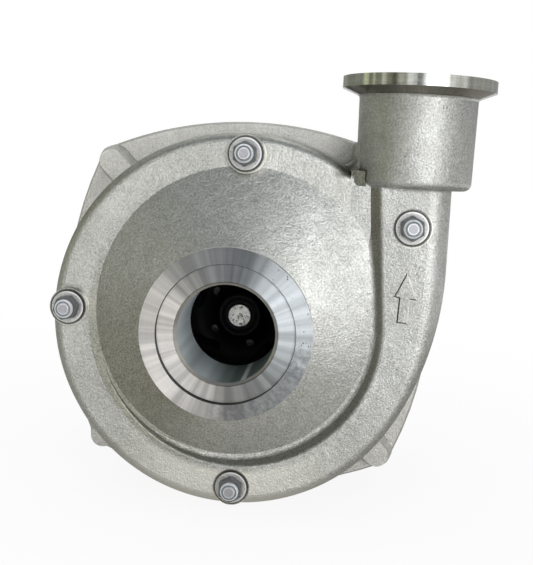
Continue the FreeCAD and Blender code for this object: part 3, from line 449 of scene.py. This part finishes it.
def turnedSurface(tree, place, look):
    fromSuction = acrossAxis(tree, place, suctionAxis, "y")
    fromDischarge = acrossAxis(tree, place, look["dischargeAxis"], "z")
    around = lengthOf(tree, fromSuction)
    y, z = splitPlace(tree, place)[1:]

    # Which face a point lies on
    faceY, slack = look["suctionFaceY"], look["slack"]
    face = calc(tree, "LESS_THAN", y, faceY + look["stepDrop"] + look["faceSlack"])
    rim = product(tree, calc(tree, "LESS_THAN", y, faceY + look["rimDepth"] + slack),
                  calc(tree, "GREATER_THAN", around, look["rimRadius"]))
    bore = product(tree, calc(tree, "LESS_THAN", around, look["boreRadius"] + slack),
                   calc(tree, "LESS_THAN", y, look["boreEnd"]))
    bevel = product(tree, calc(tree, "LESS_THAN", around, look["boreRadius"] + look["bevelWidth"]),
                    calc(tree, "LESS_THAN", y, faceY + look["bevelDepth"]))
    top = calc(tree, "GREATER_THAN", z, look["dischargeFaceZ"] - look["dischargeRim"] - slack)
    taper = product(tree, top, calc(tree, "LESS_THAN", z, look["dischargeFaceZ"] - look["taperFrom"]))
    suction = calc(tree, "MAXIMUM", calc(tree, "MAXIMUM", face, rim), calc(tree, "MAXIMUM", bore, bevel))
    mask = calc(tree, "MAXIMUM", suction, top)
    inBore = product(tree, bore, calc(tree, "GREATER_THAN", y, faceY + look["bevelDepth"]))
    outerRing = product(tree, face, calc(tree, "GREATER_THAN", around, look["stepRadius"]))

    # Streaks run outwards on the suction face and upright on the discharge rim, so they follow the direction
    # from the axis alone. Rings follow the distance from it.
    outwards = addNode(tree, "ShaderNodeMix", {0: top, 4: vectorCalc(tree, "NORMALIZE", fromSuction),
                                               5: vectorCalc(tree, "NORMALIZE", fromDischarge)},
                       data_type="VECTOR").outputs[1]
    streak = noise(tree, outwards, look["streakWidth"], 5.0, 0.7)
    broadStreak = noise(tree, outwards, look["streakWidth"] * look["broadStreak"], 2.0)
    aroundDischarge = lengthOf(tree, fromDischarge)
    across = calc(tree, "ADD", product(tree, around, suction), product(tree, aroundDischarge, top))
    along = calc(tree, "ADD", product(tree, y, suction), product(tree, z, top))
    line = addNode(tree, "ShaderNodeCombineXYZ", {0: calc(tree, "ADD", across, along)}).outputs[0]
    groove = noise(tree, line, look["ringWidth"], 2.0)
    broad = noise(tree, line, look["ringWidth"] * look["broadRing"], 2.0)
    cloud = noise(tree, place, look["cloud"], 5.0, 0.65)

    ringShare, broadRingShare = look["ringShares"]
    streakShare, broadStreakShare = look["streakShares"]
    tone = calc(tree, "MULTIPLY_ADD", spread(tree, broad), broadRingShare,
                spread(tree, cloud, 0.0, look["cloudShare"]))
    tone = calc(tree, "MULTIPLY_ADD", spread(tree, groove), ringShare, tone)
    # painted reflections: the streaks, from dull to bright on the face and from the rim's painted dark
    # reflection to bright on the rim
    streaks = stretch(tree, broadStreak, *look["broadStreakSpan"], 0.0, broadStreakShare)
    streaks = calc(tree, "MULTIPLY_ADD", stretch(tree, streak, *look["streakSpan"]), streakShare, streaks)
    colour = blend(tree, calc(tree, "ADD", tone, streaks),
                   blend(tree, top, look["dull"], look["rimDarkReflection"]), look["bright"])
    shine = spokeShine(tree, outwards, around, streak, broadStreak, colour, look)
    colour = blend(tree, face, colour, shine)
    colour = outerMarks(tree, place, outwards, outerRing, colour, look)
    colour = shadeBy(tree, taper, colour, look["taperShade"])
    colour = shadeBy(tree, bevel, colour, look["bevelShade"])

    # painted shade: a dark line along the step, thickest low on the left
    lineWidth = towards(tree, outwards, look["stepLineTowards"], *look["stepLineSpan"])
    lineWidth = blendValue(tree, lineWidth, *look["stepLine"])
    fromStep = calc(tree, "ABSOLUTE", calc(tree, "SUBTRACT", around, look["stepRadius"]))
    stepLine = product(tree, calc(tree, "LESS_THAN", fromStep, lineWidth), face)
    colour = blend(tree, stepLine, colour, look["lineColour"])
    # painted reflections on the bore wall, and a painted glint
    boreTone = ragged(tree, broadStreak, look["boreRagged"],
                      towards(tree, outwards, look["boreTowards"], *look["boreSpan"]))
    colour = blend(tree, inBore, colour, blend(tree, boreTone, *look["boreColours"]))
    glint = product(tree, towards(tree, outwards, look["glintTowards"], *look["glintSpan"]), inBore)
    colour = blend(tree, product(tree, glint, look["glintShare"]), colour, look["bright"])

    rough = blendValue(tree, top, spread(tree, cloud, *look["rough"]), look["rimRough"])
    rough = blendValue(tree, inBore, rough, look["boreRough"])
    metallic = blendValue(tree, inBore, 1.0, look["boreMetallic"])

    # A lathe's grooves run round the axis, so the shine is drawn out across them: outwards on a flat face,
    # along the axis on a rim or in the bore.
    axis = addNode(tree, "ShaderNodeCombineXYZ", {1: calc(tree, "SUBTRACT", 1.0, top), 2: top}).outputs[0]
    grooveWay = vectorCalc(tree, "CROSS_PRODUCT", axis, outwards)
    tangent = vectorCalc(tree, "CROSS_PRODUCT", surfaceNormal(tree), grooveWay)
    return colour, rough, groove, metallic, mask, tangent


# The web ends behind the cup, so what shows of it inside the cup's outline is as dark as the cup's own flank,
# and it darkens towards the rounding above it.
def cupFootShadow(tree, place, paintedLight):
    x, y, z = splitPlace(tree, place)
    cornerX, cornerZ = paintedLight["footCorner"]
    fromCorner = addNode(tree, "ShaderNodeCombineXYZ", {
        0: calc(tree, "MAXIMUM", calc(tree, "SUBTRACT", cornerX, x), 0.0),
        2: calc(tree, "MAXIMUM", calc(tree, "SUBTRACT", cornerZ, z), 0.0)}).outputs[0]
    radius = paintedLight["footRadius"]
    foot = stretch(tree, lengthOf(tree, fromCorner), radius + paintedLight["footSoft"], radius)
    foot = product(tree, foot, inside(tree, x, *paintedLight["footX"]), calc(tree, "LESS_THAN", z, paintedLight["footTopZ"]))
    webEnd = blendValue(tree, calc(tree, "GREATER_THAN", z, paintedLight["footTopZ"]), *paintedLight["webEndX"])
    web = product(tree, stretch(tree, z, *paintedLight["webStartZ"]), stretch(tree, x, *paintedLight["webStartX"]),
                  calc(tree, "LESS_THAN", x, webEnd), stretch(tree, z, *paintedLight["webEndZ"]))
    return product(tree, calc(tree, "MAXIMUM", foot, web), inside(tree, y, *paintedLight["footDepth"]))


def casingMetal(name, cast, paintedLight, turned):
    material, tree, place = startMaterial(name)
    colour, rough, height = castSurface(tree, place, cast)
    fromAxis = acrossAxis(tree, place, suctionAxis, "y")
    outwards = vectorCalc(tree, "NORMALIZE", fromAxis)
    around = lengthOf(tree, fromAxis)
    x, z = splitPlace(tree, place)[::2]

    # painted highlight: the flat band lighter, most low down
    onBand = stretch(tree, around, paintedLight["bandFrom"], paintedLight["bandFrom"] + paintedLight["bandEdge"])
    low = product(tree, towards(tree, outwards, paintedLight["lowTowards"], *paintedLight["lowSpan"]), paintedLight["lowShare"])
    beside = product(tree, calc(tree, "LESS_THAN", x, paintedLight["bandEndX"]), paintedLight["bandShare"])
    colour = blend(tree, product(tree, calc(tree, "MAXIMUM", low, beside), onBand), colour, paintedLight["paintedHighlight"])
    # painted shade on the cone, low on the left
    cone = product(tree, towards(tree, outwards, paintedLight["coneTowards"], *paintedLight["coneSpan"]),
                   inside(tree, around, paintedLight["coneFrom"], paintedLight["bandFrom"]))
    colour = shadeBy(tree, cone, colour, paintedLight["coneShade"])

    normal = surfaceNormal(tree)
    # painted shade where the casing faces up
    above = towards(tree, normal, cast["aboveTowards"], *cast["aboveSpan"])
    colour = shadeBy(tree, above, colour, cast["aboveShade"])
    # painted shade on the leg's left flank, where it faces left
    flank = product(tree, towards(tree, normal, paintedLight["flankTowards"], *paintedLight["flankSpan"]),
                    calc(tree, "GREATER_THAN", x, paintedLight["flankFromX"]),
                    calc(tree, "LESS_THAN", z, paintedLight["flankTopZ"]))
    colour = shadeBy(tree, flank, colour, paintedLight["flankShade"])

    # painted shade on the stud seats just outside the washers, and a painted highlight on one side of each
    # seat's edge
    away = fromStud(tree, place)
    ring = product(tree, stretch(tree, away, *paintedLight["seatRingIn"]), stretch(tree, away, *paintedLight["seatRingOut"]))
    colour = blend(tree, product(tree, ring, paintedLight["seatShare"]), colour, cast["grime"])
    edge = product(tree, inside(tree, away, *paintedLight["seatEdge"]),
                   stretch(tree, aroundStud(tree, place, paintedLight["seatEdgeTowards"]), *paintedLight["seatEdgeSpan"]))
    colour = blend(tree, product(tree, edge, paintedLight["seatShare"]), colour, paintedLight["paintedHighlight"])
    colour = shadeBy(tree, cupFootShadow(tree, place, paintedLight), colour, paintedLight["footShade"])

    brightColour, brightRough, groove, brightMetallic, mask, tangent = turnedSurface(tree, place, turned)
    colour = blend(tree, mask, colour, brightColour)
    rough = blendValue(tree, mask, rough, brightRough)
    height = blendValue(tree, mask, product(tree, height, cast["grainDepth"]),
                        product(tree, groove, turned["ringDepth"]))
    metallic = blendValue(tree, mask, cast["metallic"], brightMetallic)
    stretched = product(tree, mask, turned["stretched"])
    endMaterial(tree, colour, rough, height, 1.0, metallic, {"Anisotropic": stretched, "Tangent": tangent})
    return material


def castMetal(name, look):
    material, tree, place = startMaterial(name)
    colour, rough, height = castSurface(tree, place, look)
    # painted shade where it faces up
    if "aboveShade" in look:
        above = towards(tree, surfaceNormal(tree), look["aboveTowards"], *look["aboveSpan"])
        colour = shadeBy(tree, above, colour, look["aboveShade"])
    endMaterial(tree, colour, rough, height, look["grainDepth"], look["metallic"])
    return material


# Turned and plated steel: fine rings round the suction axis, soft clouds in the shine

turnedSkin = {
    "toneShares": (0.3, 0.7),             # of the rings and the clouds
    "speckSpan": (0.52, 0.66),
    "frontSpan": (0.7, 0.9),
    "shadeSoft": 0.0008,
    "shadeShare": 0.85,
    "rimSoft": (0.0003, 0.0002),          # at its inner and outer edge
    # the side where the painted rim highlight is brightest
    "rimBrightest": (0.90, 0.0, 0.44),
}


def turnedMetal(name, look, skin=turnedSkin):
    material, tree, place = startMaterial(name)
    y = splitPlace(tree, place)[1]
    across = calc(tree, "ADD", radiusFrom(tree, place, suctionAxis, "y"), y)
    line = addNode(tree, "ShaderNodeCombineXYZ", {0: across}).outputs[0]
    groove = noise(tree, line, look["ringWidth"], 2.0)
    cloud = noise(tree, place, look["cloud"], 5.0, 0.65)
    speck = noise(tree, place, look["speck"], 3.0, 0.6)
    ringShare, cloudShare = skin["toneShares"]
    tone = calc(tree, "MULTIPLY_ADD", spread(tree, groove), ringShare, spread(tree, cloud, 0.0, cloudShare))
    colour = blend(tree, tone, look["deep"], look["pale"])
    specks = stretch(tree, speck, *skin["speckSpan"], 0.0, look["speckShare"])
    if "specksTowards" in look:
        front = towards(tree, surfaceNormal(tree), look["specksTowards"], *skin["frontSpan"])
        specks = product(tree, specks, front)
    colour = blend(tree, specks, colour, look["speckColour"])
    # painted shade in corners and along seams
    colour = addCreviceShade(tree, colour, look)
    if "darkBehind" in look:  # painted shade below this depth
        shaded = stretch(tree, y, look["darkBehind"], look["darkBehind"] + skin["shadeSoft"])
        colour = blend(tree, product(tree, shaded, skin["shadeShare"]), colour, look["grime"])
    if "rim" in look:  # a painted highlight on the rim, brightest to one side, and painted shade outside it
        away = fromStud(tree, place)
        rimStart, rimEnd = look["rim"]
        startSoft, endSoft = skin["rimSoft"]
        side = stretch(tree, aroundStud(tree, place, skin["rimBrightest"]), *look["rimTowards"])
        rimHighlight = product(tree, stretch(tree, away, rimStart, rimStart + startSoft), side)
        colour = blend(tree, rimHighlight, colour, look["rimColour"])
        colour = blend(tree, stretch(tree, away, rimEnd, rimEnd + endSoft), colour, look["grime"])
    rough = spread(tree, cloud, *look["rough"])
    height = calc(tree, "MULTIPLY_ADD", speck, look["speckRise"], groove)
    endMaterial(tree, colour, rough, height, look["ringDepth"], look["metallic"])
    return material


zincSteel = {
    "pale": (0.74, 0.77, 0.81), "deep": (0.46, 0.49, 0.53),
    "ringWidth": 0.0004, "ringDepth": 0.000020,
    "cloud": 0.004, "speck": 0.0007, "speckShare": 0.35, "speckColour": (0.30, 0.31, 0.33), "speckRise": 1.0,
    "grime": (0.02, 0.022, 0.025), "grimeReach": 0.0020, "grimeShare": 0.9,
    "rough": (0.22, 0.38), "metallic": 1.0,
}

# the nut is painted in shade behind its collar
nutSteel = dict(zincSteel, pale=(0.97, 0.98, 1.0), deep=(0.78, 0.82, 0.86), rough=(0.42, 0.56), metallic=0.45,
                darkBehind=-0.1834, grime=(0.035, 0.04, 0.045))

# the stud ends get a painted highlight on their rim, all round, and painted shade outside it
studSteel = dict(zincSteel, pale=(0.62, 0.62, 0.67), deep=(0.44, 0.44, 0.48), rough=(0.40, 0.5),
                 rim=(0.0023, 0.0060), rimTowards=(-2.0, -1.0), rimColour=(0.97, 0.98, 1.0))

# the washers get a painted highlight on their rim, brightest to one side, and painted shade outside it
washerSteel = dict(zincSteel, pale=(0.80, 0.80, 0.79), deep=(0.47, 0.48, 0.47), speckShare=0.7,
                   speckColour=(0.26, 0.27, 0.27), rough=(0.40, 0.52), metallic=0.9,
                   grime=(0.07, 0.065, 0.05), rim=(0.0073, 0.0081), rimTowards=(-0.3, 0.7),
                   rimColour=(0.97, 0.98, 1.0))

shaftSteel = {
    "pale": (0.95, 0.94, 0.91), "deep": (0.42, 0.415, 0.40),
    "ringWidth": 0.0003, "ringDepth": 0.000020,
    "cloud": 0.003, "speck": 0.0015, "speckShare": 1.0, "speckColour": (0.05, 0.05, 0.05),
    "speckRise": 6.0, "specksTowards": (0.0, -1.0, 0.0),
    "grime": (0.03, 0.03, 0.03), "grimeReach": 0.0020, "grimeShare": 0.8,
    "rough": (0.24, 0.42), "metallic": 1.0,
}

blackOxide = {
    "pale": (0.055, 0.055, 0.06), "deep": (0.025, 0.025, 0.028),
    "ringWidth": 0.0005, "ringDepth": 0.000015,
    "cloud": 0.003, "speck": 0.0006, "speckShare": 0.3, "speckColour": (0.12, 0.12, 0.12), "speckRise": 1.0,
    "grime": (0.01, 0.01, 0.01), "grimeReach": 0.0020, "grimeShare": 0.8,
    "rough": (0.35, 0.5), "metallic": 0.6,
}


# Moulded black plastic and rubber: nearly even colour, faint flow marks and a fine skin

mouldMarks = {
    "dustSize": 2.5,                      # times the skin's
    "dustSpan": (0.62, 0.75),
    "ringSoft": 0.0004,
}


def mouldedSkin(name, look, skin=mouldMarks):
    material, tree, place = startMaterial(name)
    flow = noise(tree, place, look["flow"], 4.0, 0.6)
    grain = noise(tree, place, look["skin"], 3.0, 0.6)
    specks = noise(tree, place, look["skin"] * skin["dustSize"], 3.0)
    dust = stretch(tree, specks, *skin["dustSpan"], 0.0, look["dustShare"])
    colour = blend(tree, spread(tree, flow), look["deep"], look["pale"])
    colour = blend(tree, dust, colour, look["dust"])
    for inner, outer, paler in look.get("rings", []):  # painted highlight: paler rings round the suction axis
        around = radiusFrom(tree, place, suctionAxis, "y")
        ring = product(tree, stretch(tree, around, inner, inner + skin["ringSoft"]),
                       stretch(tree, around, outer, outer - skin["ringSoft"]))
        colour = blend(tree, ring, colour, paler)
    rough = spread(tree, flow, *look["rough"])
    endMaterial(tree, colour, rough, grain, look["skinDepth"], 0.0, {"Specular IOR Level": look["gloss"]})
    return material


blackNylon = {
    "pale": (0.004, 0.0042, 0.005), "deep": (0.002, 0.0021, 0.0025),
    "dust": (0.012, 0.012, 0.013), "dustShare": 0.2, "flow": 0.012,
    "skin": 0.0009, "skinDepth": 0.00005, "rough": (0.46, 0.60), "gloss": 0.07,
}

# painted highlights on the hub, as paler rings
impellerNylon = dict(blackNylon, rings=[(0.0098, 0.0114, (0.050, 0.052, 0.056)),
                                        (0.0070, 0.0077, (0.030, 0.030, 0.033))])

sealRubber = {
    "pale": (0.022, 0.022, 0.022), "deep": (0.012, 0.012, 0.012),
    "dust": (0.10, 0.10, 0.10), "dustShare": 0.3, "flow": 0.006,
    "skin": 0.0005, "skinDepth": 0.00004, "rough": (0.5, 0.7), "gloss": 0.35,
}

sealCarbon = {
    "pale": (0.030, 0.030, 0.032), "deep": (0.018, 0.018, 0.019),
    "dust": (0.08, 0.08, 0.08), "dustShare": 0.2, "flow": 0.004,
    "skin": 0.0004, "skinDepth": 0.00002, "rough": (0.25, 0.38), "gloss": 0.5,
}

seatCeramic = {
    "pale": (0.80, 0.78, 0.74), "deep": (0.70, 0.68, 0.63),
    "dust": (0.55, 0.53, 0.50), "dustShare": 0.3, "flow": 0.005,
    "skin": 0.0004, "skinDepth": 0.00002, "rough": (0.18, 0.30), "gloss": 0.5,
}

lockRingNylon = dict(blackNylon, pale=(0.30, 0.34, 0.39), deep=(0.16, 0.19, 0.22), gloss=0.5)

# the plate is painted in shade where it faces up
plateSteel = dict(castSteel, pale=(0.84, 0.83, 0.80), deep=(0.56, 0.555, 0.53), blotch=0.030,
                  rough=(0.40, 0.52), metallic=0.8, aboveTowards=(-0.10, 0.0, 0.99), aboveSpan=(0.45, 0.90),
                  aboveShade=(0.42, 0.43, 0.40))

greyIron = {
    "pale": (0.125, 0.128, 0.132), "deep": (0.060, 0.062, 0.065), "blotch": 0.025, "grain": 0.0016,
    "grainDepth": 0.00022, "pitSize": 0.004, "pitColour": (0.03, 0.03, 0.03),
    "fleckColour": (0.20, 0.20, 0.20), "grime": (0.02, 0.02, 0.02), "grimeReach": 0.005, "grimeShare": 0.7,
    "rough": (0.50, 0.66), "metallic": 0.35,
}

casingFinish = casingMetal("castSteelWithTurnedFaces", castSteel, casingPaintedLight, turnedFaces)
plateFinish = castMetal("plateSteel", plateSteel)
ironFinish = castMetal("greyIron", greyIron)
zincFinish = turnedMetal("zincSteel", zincSteel)
nutFinish = turnedMetal("nutSteel", nutSteel)
studFinish = turnedMetal("studSteel", studSteel)
washerFinish = turnedMetal("washerSteel", washerSteel)
shaftFinish = turnedMetal("shaftSteel", shaftSteel)
oxideFinish = turnedMetal("blackOxide", blackOxide)
impellerFinish = mouldedSkin("impellerNylon", impellerNylon)
lockRingFinish = mouldedSkin("lockRingNylon", lockRingNylon)
rubberFinish = mouldedSkin("sealRubber", sealRubber)
carbonFinish = mouldedSkin("sealCarbon", sealCarbon)
ceramicFinish = mouldedSkin("seatCeramic", seatCeramic)

nodeFinish = {
    "volute_casing": casingFinish,
    "back_casing": plateFinish,
    "engine_adapter": ironFinish,
    "casing_studs": studFinish,
    "stud_nuts": nutFinish,
    "nut_lock_rings": lockRingFinish,
    "stud_washers": washerFinish,
    "adapter_screws": zincFinish,
    "adapter_lock_washers": zincFinish,
    "impeller": impellerFinish,
    "impeller_insert": shaftFinish,
    "pump_shaft": shaftFinish,
    "wear_ring": shaftFinish,
    "seal_shell": shaftFinish,
    "seal_spring": shaftFinish,
    "spring_retainer": shaftFinish,
    "shaft_set_screws": oxideFinish,
    "casing_seal_ring": rubberFinish,
    "hub_seal_ring": rubberFinish,
    "seat_cup": rubberFinish,
    "seal_bellows": rubberFinish,
    "slinger_ring": rubberFinish,
    "seal_face_ring": carbonFinish,
    "seal_seat": ceramicFinish,
}

for nodeName, finish in nodeFinish.items():
    nodes[nodeName].data.materials.clear()
    nodes[nodeName].data.materials.append(finish)
print("materials on", len(nodeFinish), "nodes")


# Surfaces

def ringFaces(rows, columns):
    # Quads between neighbouring rows and columns of a grid whose last column joins its first.
    i, j = np.meshgrid(np.arange(rows - 1), np.arange(columns), indexing="ij")
    here, below = i * columns, (i + 1) * columns
    across = (j + 1) % columns
    return np.stack([here + j, here + across, below + across, below + j], -1).reshape(-1, 4)


def makePiece(name, points, faces, finish, body):
    mesh = bpy.data.meshes.new(name)
    mesh.from_pydata(points.reshape(-1, 3).tolist(), [], [list(map(int, face)) for face in faces])
    mesh.polygons.foreach_set("use_smooth", np.full(len(mesh.polygons), False))
    mesh.materials.append(finish)
    mesh.update()
    piece = bpy.data.objects.new(name, mesh)
    bpy.context.scene.collection.objects.link(piece)
    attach(piece, body)


def hitDepth(tree, x, z):  # y where a line from in front meets the casing
    return tree.ray_cast(Vector((x, -1.0, z)), Vector((0.0, 1.0, 0.0)))[0].y


# Flow arrow: raised a little above the discharge leg, with sloping sides

flowArrow = {
    "corners": [(0.0852, 0.0297), (0.0906, 0.0173), (0.0872, 0.0173), (0.0867, 0.0050),
                (0.0818, 0.0053), (0.0823, 0.0177), (0.0799, 0.0182)],
    "rise": 0.00070,
    "edgeRise": 0.75,                     # share of the rise at the outline
    "side": 0.00060,
    "topInset": 0.6,                      # share of the side between the outline and the flat top
    "sunk": 0.0004,
    "steps": 6,
    # painted shade on the sides facing left and down, painted highlight on the sides facing right
    "shadedSideTowards": (-0.80, 0.0, -0.60),
    "shadedSideSpan": (0.12, 0.34),
    "shadedSideShare": 0.85,
    "highlightTowards": (0.92, 0.0, 0.39),
    "highlightSpan": (0.30, 0.60),
    "highlightColour": (1.0, 1.0, 0.97),
    "highlightMetallic": 0.2,
}


def addArrow(look, finish):
    # Each side's points are its corner plus a share of the way to the next one. Every row is the outline
    # moved inwards along the mean of the two side normals, and lifted off the casing.
    casing = nodes["volute_casing"].data
    tree = BVHTree.FromPolygons([v.co for v in casing.vertices], [p.vertices for p in casing.polygons])
    corners = np.array(look["corners"])
    after = np.roll(corners, -1, axis=0)
    share = np.linspace(0.0, 1.0, look["steps"], endpoint=False)[None, :, None]
    outline = (corners[:, None, :] * (1 - share) + after[:, None, :] * share).reshape(-1, 2)
    side = after - corners
    side /= np.linalg.norm(side, axis=1)[:, None]
    normal = np.stack([-side[:, 1], side[:, 0]], 1)
    inwards = np.repeat(-normal, look["steps"], axis=0)
    cornerMean = -(normal + np.roll(normal, 1, axis=0))
    cornerMean /= (1 + (normal * np.roll(normal, 1, axis=0)).sum(1))[:, None]
    inwards[::look["steps"]] = cornerMean
    offsets = np.array([-look["side"], 0.0, look["side"] * look["topInset"]])
    lifts = np.array([-look["sunk"], look["rise"] * look["edgeRise"], look["rise"]])
    rows = outline[None] + inwards[None] * offsets[:, None, None]
    depth = np.array([hitDepth(tree, x, z) for x, z in outline])
    points = np.stack([rows[..., 0], depth[None] - lifts[:, None], rows[..., 1]], -1)
    count = len(outline)
    faces = ringFaces(len(lifts), count).tolist()
    top = range((len(lifts) - 1) * count, len(lifts) * count)
    faces.append(list(top))
    makePiece("flow_arrow", points, faces, finish, "casing")


def arrowMetal(name, look, arrow):  # cast steel, with painted shade on the sides that face left and down and a painted highlight on the sides that face right
    material, tree, place = startMaterial(name)
    colour, rough, height = castSurface(tree, place, look)
    normal = surfaceNormal(tree)
    shadedSide = towards(tree, normal, arrow["shadedSideTowards"], *arrow["shadedSideSpan"])
    bright = towards(tree, normal, arrow["highlightTowards"], *arrow["highlightSpan"])
    colour = blend(tree, product(tree, shadedSide, arrow["shadedSideShare"]), colour, look["grime"])
    colour = blend(tree, bright, colour, arrow["highlightColour"])
    metallic = blendValue(tree, bright, look["metallic"], arrow["highlightMetallic"])
    endMaterial(tree, colour, rough, height, look["grainDepth"], metallic)
    return material


arrowFinish = arrowMetal("arrowSteel", castSteel, flowArrow)
addArrow(flowArrow, arrowFinish)
print("flow arrow added")


# Floor, background, lamps and the grey cards that the metal mirrors

studio = {
    "floorColour": (0.84, 0.84, 0.84),
    "floorSize": 8.0,
    "floorWhite": (0.90, 1.0),   # at the object and far from it
    "floorFade": (0.12, 0.50),
    "floorDrop": 0.0005,
    "paperGrain": 0.5,
    "paperShade": (0.97, 1.0),
    "worldSoft": 0.80,
    "cardsFace": (0.0, -0.15, 0.0),
    "cardCloud": 0.8,
    "cardShade": (0.85, 1.0),
    "lamps": [
        # name, place, aimed at, width, watts
        ("keyLamp", (0.80, -1.90, 0.30), (0.0, -0.15, 0.0), 1.1, 9.5),
        ("backLamp", (-0.6, 1.8, 1.0), (0.0, -0.1, 0.0), 1.2, 5.0),
        ("topLamp", (0.0, 0.3, 1.8), (0.0, -0.1, 0.0), 1.2, 1.6),
    ],
    "cards": [
        # name, place, width, height, grey as a reflection shows it
        ("leftCard", (-2.55, -1.75, 0.3), 4.6, 5.5, (0.27, 0.265, 0.20)),
        ("leftBackCard", (-2.3, 1.9, 0.3), 4.6, 5.5, (0.30, 0.30, 0.26)),
        ("rightCard", (3.0, -0.35, 0.3), 4.4, 5.5, (0.33, 0.33, 0.31)),
        ("rightBackCard", (1.6, 2.6, 0.3), 4.0, 5.5, (0.36, 0.36, 0.35)),
        ("topCard", (-0.2, -1.9, 2.4), 5.5, 3.4, (0.21, 0.24, 0.26)),
        ("leftWindow", (-0.40, -1.15, -0.02), 0.36, 0.18, (2.7, 2.7, 2.6)),
        ("middleBar", (-0.08, -1.10, 0.00), 0.15, 0.24, (0.10, 0.10, 0.10)),
        ("rimBar", (0.030, -1.10, 0.24), 0.13, 0.26, (0.02, 0.025, 0.02)),
        ("leftBar", (-0.66, -1.05, 0.24), 0.14, 0.26, (0.02, 0.025, 0.02)),
        ("leftStripA", (-1.00, -0.88, 0.24), 0.16, 0.20, (0.95, 1.0, 0.85)),
        ("leftStripB", (-1.16, -0.52, 0.24), 0.10, 0.20, (0.80, 0.90, 0.60)),
        ("leftStripC", (-1.20, -0.20, 0.24), 0.22, 0.20, (0.90, 1.0, 0.65)),
        ("rimWindow", (1.05, -0.82, 0.24), 0.55, 0.16, (1.3, 1.3, 1.3)),
    ],
    "floorCards": [
        # name, x from and to, y from and to, how far below the object, grey
        ("floorNearCard", (-2.6, 0.5), (-0.36, 1.2), 0.0003, (0.34, 0.335, 0.31)),
        ("floorFootCard", (-0.05, 0.12), (-0.35, -0.22), 0.0002, (0.60, 0.59, 0.55)),
        ("floorLeftCard", (-2.6, -0.30), (-2.6, -0.36), 0.0003, (0.26, 0.255, 0.21)),
        ("floorMiddleCard", (-0.15, 0.0), (-1.15, -0.42), 0.0003, (0.10, 0.10, 0.10)),
    ],
}


def seenAsBackground(tree):  # 1 for what the camera, a mirror or glass sees
    path = addNode(tree, "ShaderNodeLightPath")
    seen = calc(tree, "MAXIMUM", path.outputs["Is Camera Ray"], path.outputs["Is Glossy Ray"])
    return calc(tree, "MAXIMUM", seen, path.outputs["Is Transmission Ray"])


def addPlane(name, width, height, material):
    mesh = bpy.data.meshes.new(name)
    across, up = width / 2, height / 2
    corners = [(-across, -up, 0), (across, -up, 0), (across, up, 0), (-across, up, 0)]
    mesh.from_pydata(corners, [], [(0, 1, 2, 3)])
    mesh.materials.append(material)
    plane = bpy.data.objects.new(name, mesh)
    bpy.context.scene.collection.objects.link(plane)
    return plane


def facing(place, target):
    return (Vector(target) - Vector(place)).to_track_quat("-Z", "Y").to_euler()


def floorPaper(look):
    material, tree, place = startMaterial("floorPaper")
    grain = spread(tree, noise(tree, place, look["paperGrain"], 2.0), *look["paperShade"])
    shade = addNode(tree, "ShaderNodeVectorMath", {0: look["floorColour"], "Scale": grain}, operation="SCALE")
    paper = addNode(tree, "ShaderNodeBsdfDiffuse", {"Color": shade.outputs[0]})
    white = addNode(tree, "ShaderNodeEmission", {"Color": (1, 1, 1, 1), "Strength": 1.0})
    away = radiusFrom(tree, place, (0.0, 0.0, 0.0), "z")
    whiteness = stretch(tree, away, *look["floorFade"], *look["floorWhite"])
    share = calc(tree, "MULTIPLY", seenAsBackground(tree), whiteness)
    mixed = addNode(tree, "ShaderNodeMixShader", {0: share, 1: paper.outputs[0], 2: white.outputs[0]})
    addNode(tree, "ShaderNodeOutputMaterial", {"Surface": mixed.outputs[0]})
    return material


def cardGrey(name, grey, look):
    material, tree, place = startMaterial(name)
    cloud = spread(tree, noise(tree, place, look["cardCloud"], 2.0), *look["cardShade"])
    shade = addNode(tree, "ShaderNodeVectorMath", {0: grey, "Scale": cloud}, operation="SCALE")
    glow = addNode(tree, "ShaderNodeEmission", {"Color": shade.outputs[0], "Strength": 1.0})
    addNode(tree, "ShaderNodeOutputMaterial", {"Surface": glow.outputs[0]})
    return material


def addCard(name, width, height, grey, look):  # a grey card that only reflections in the metal show
    card = addPlane(name, width, height, cardGrey(name, grey, look))
    card.visible_camera = False
    card.visible_diffuse = False
    card.visible_transmission = False
    card.visible_shadow = False
    return card


def addStudio(look):
    floor = addPlane("floor", 2 * look["floorSize"], 2 * look["floorSize"], floorPaper(look))
    floor.location.z = cadBox[0][2] - look["floorDrop"]

    world = bpy.data.worlds.new("paleRoom")
    world.use_nodes = True
    tree = world.node_tree
    tree.nodes.clear()
    strength = blendValue(tree, seenAsBackground(tree), look["worldSoft"], 1.0)
    shader = addNode(tree, "ShaderNodeBackground", {"Color": (1, 1, 1, 1), "Strength": strength})
    addNode(tree, "ShaderNodeOutputWorld", {"Surface": shader.outputs[0]})
    bpy.context.scene.world = world

    for name, place, target, width, watts in look["lamps"]:
        data = bpy.data.lights.new(name, "AREA")
        data.size = width
        data.energy = watts
        lamp = bpy.data.objects.new(name, data)
        lamp.location = place
        lamp.rotation_euler = facing(place, target)
        bpy.context.scene.collection.objects.link(lamp)

    for name, place, width, height, grey in look["cards"]:
        card = addCard(name, width, height, grey, look)
        card.location = place
        card.rotation_euler = facing(place, look["cardsFace"])

    for name, (x0, x1), (y0, y1), drop, grey in look["floorCards"]:
        card = addCard(name, x1 - x0, y1 - y0, grey, look)
        card.location = ((x0 + x1) / 2, (y0 + y1) / 2, cadBox[0][2] - drop)


addStudio(studio)
bpy.context.scene.view_settings.view_transform = "Standard"
print("studio ready")
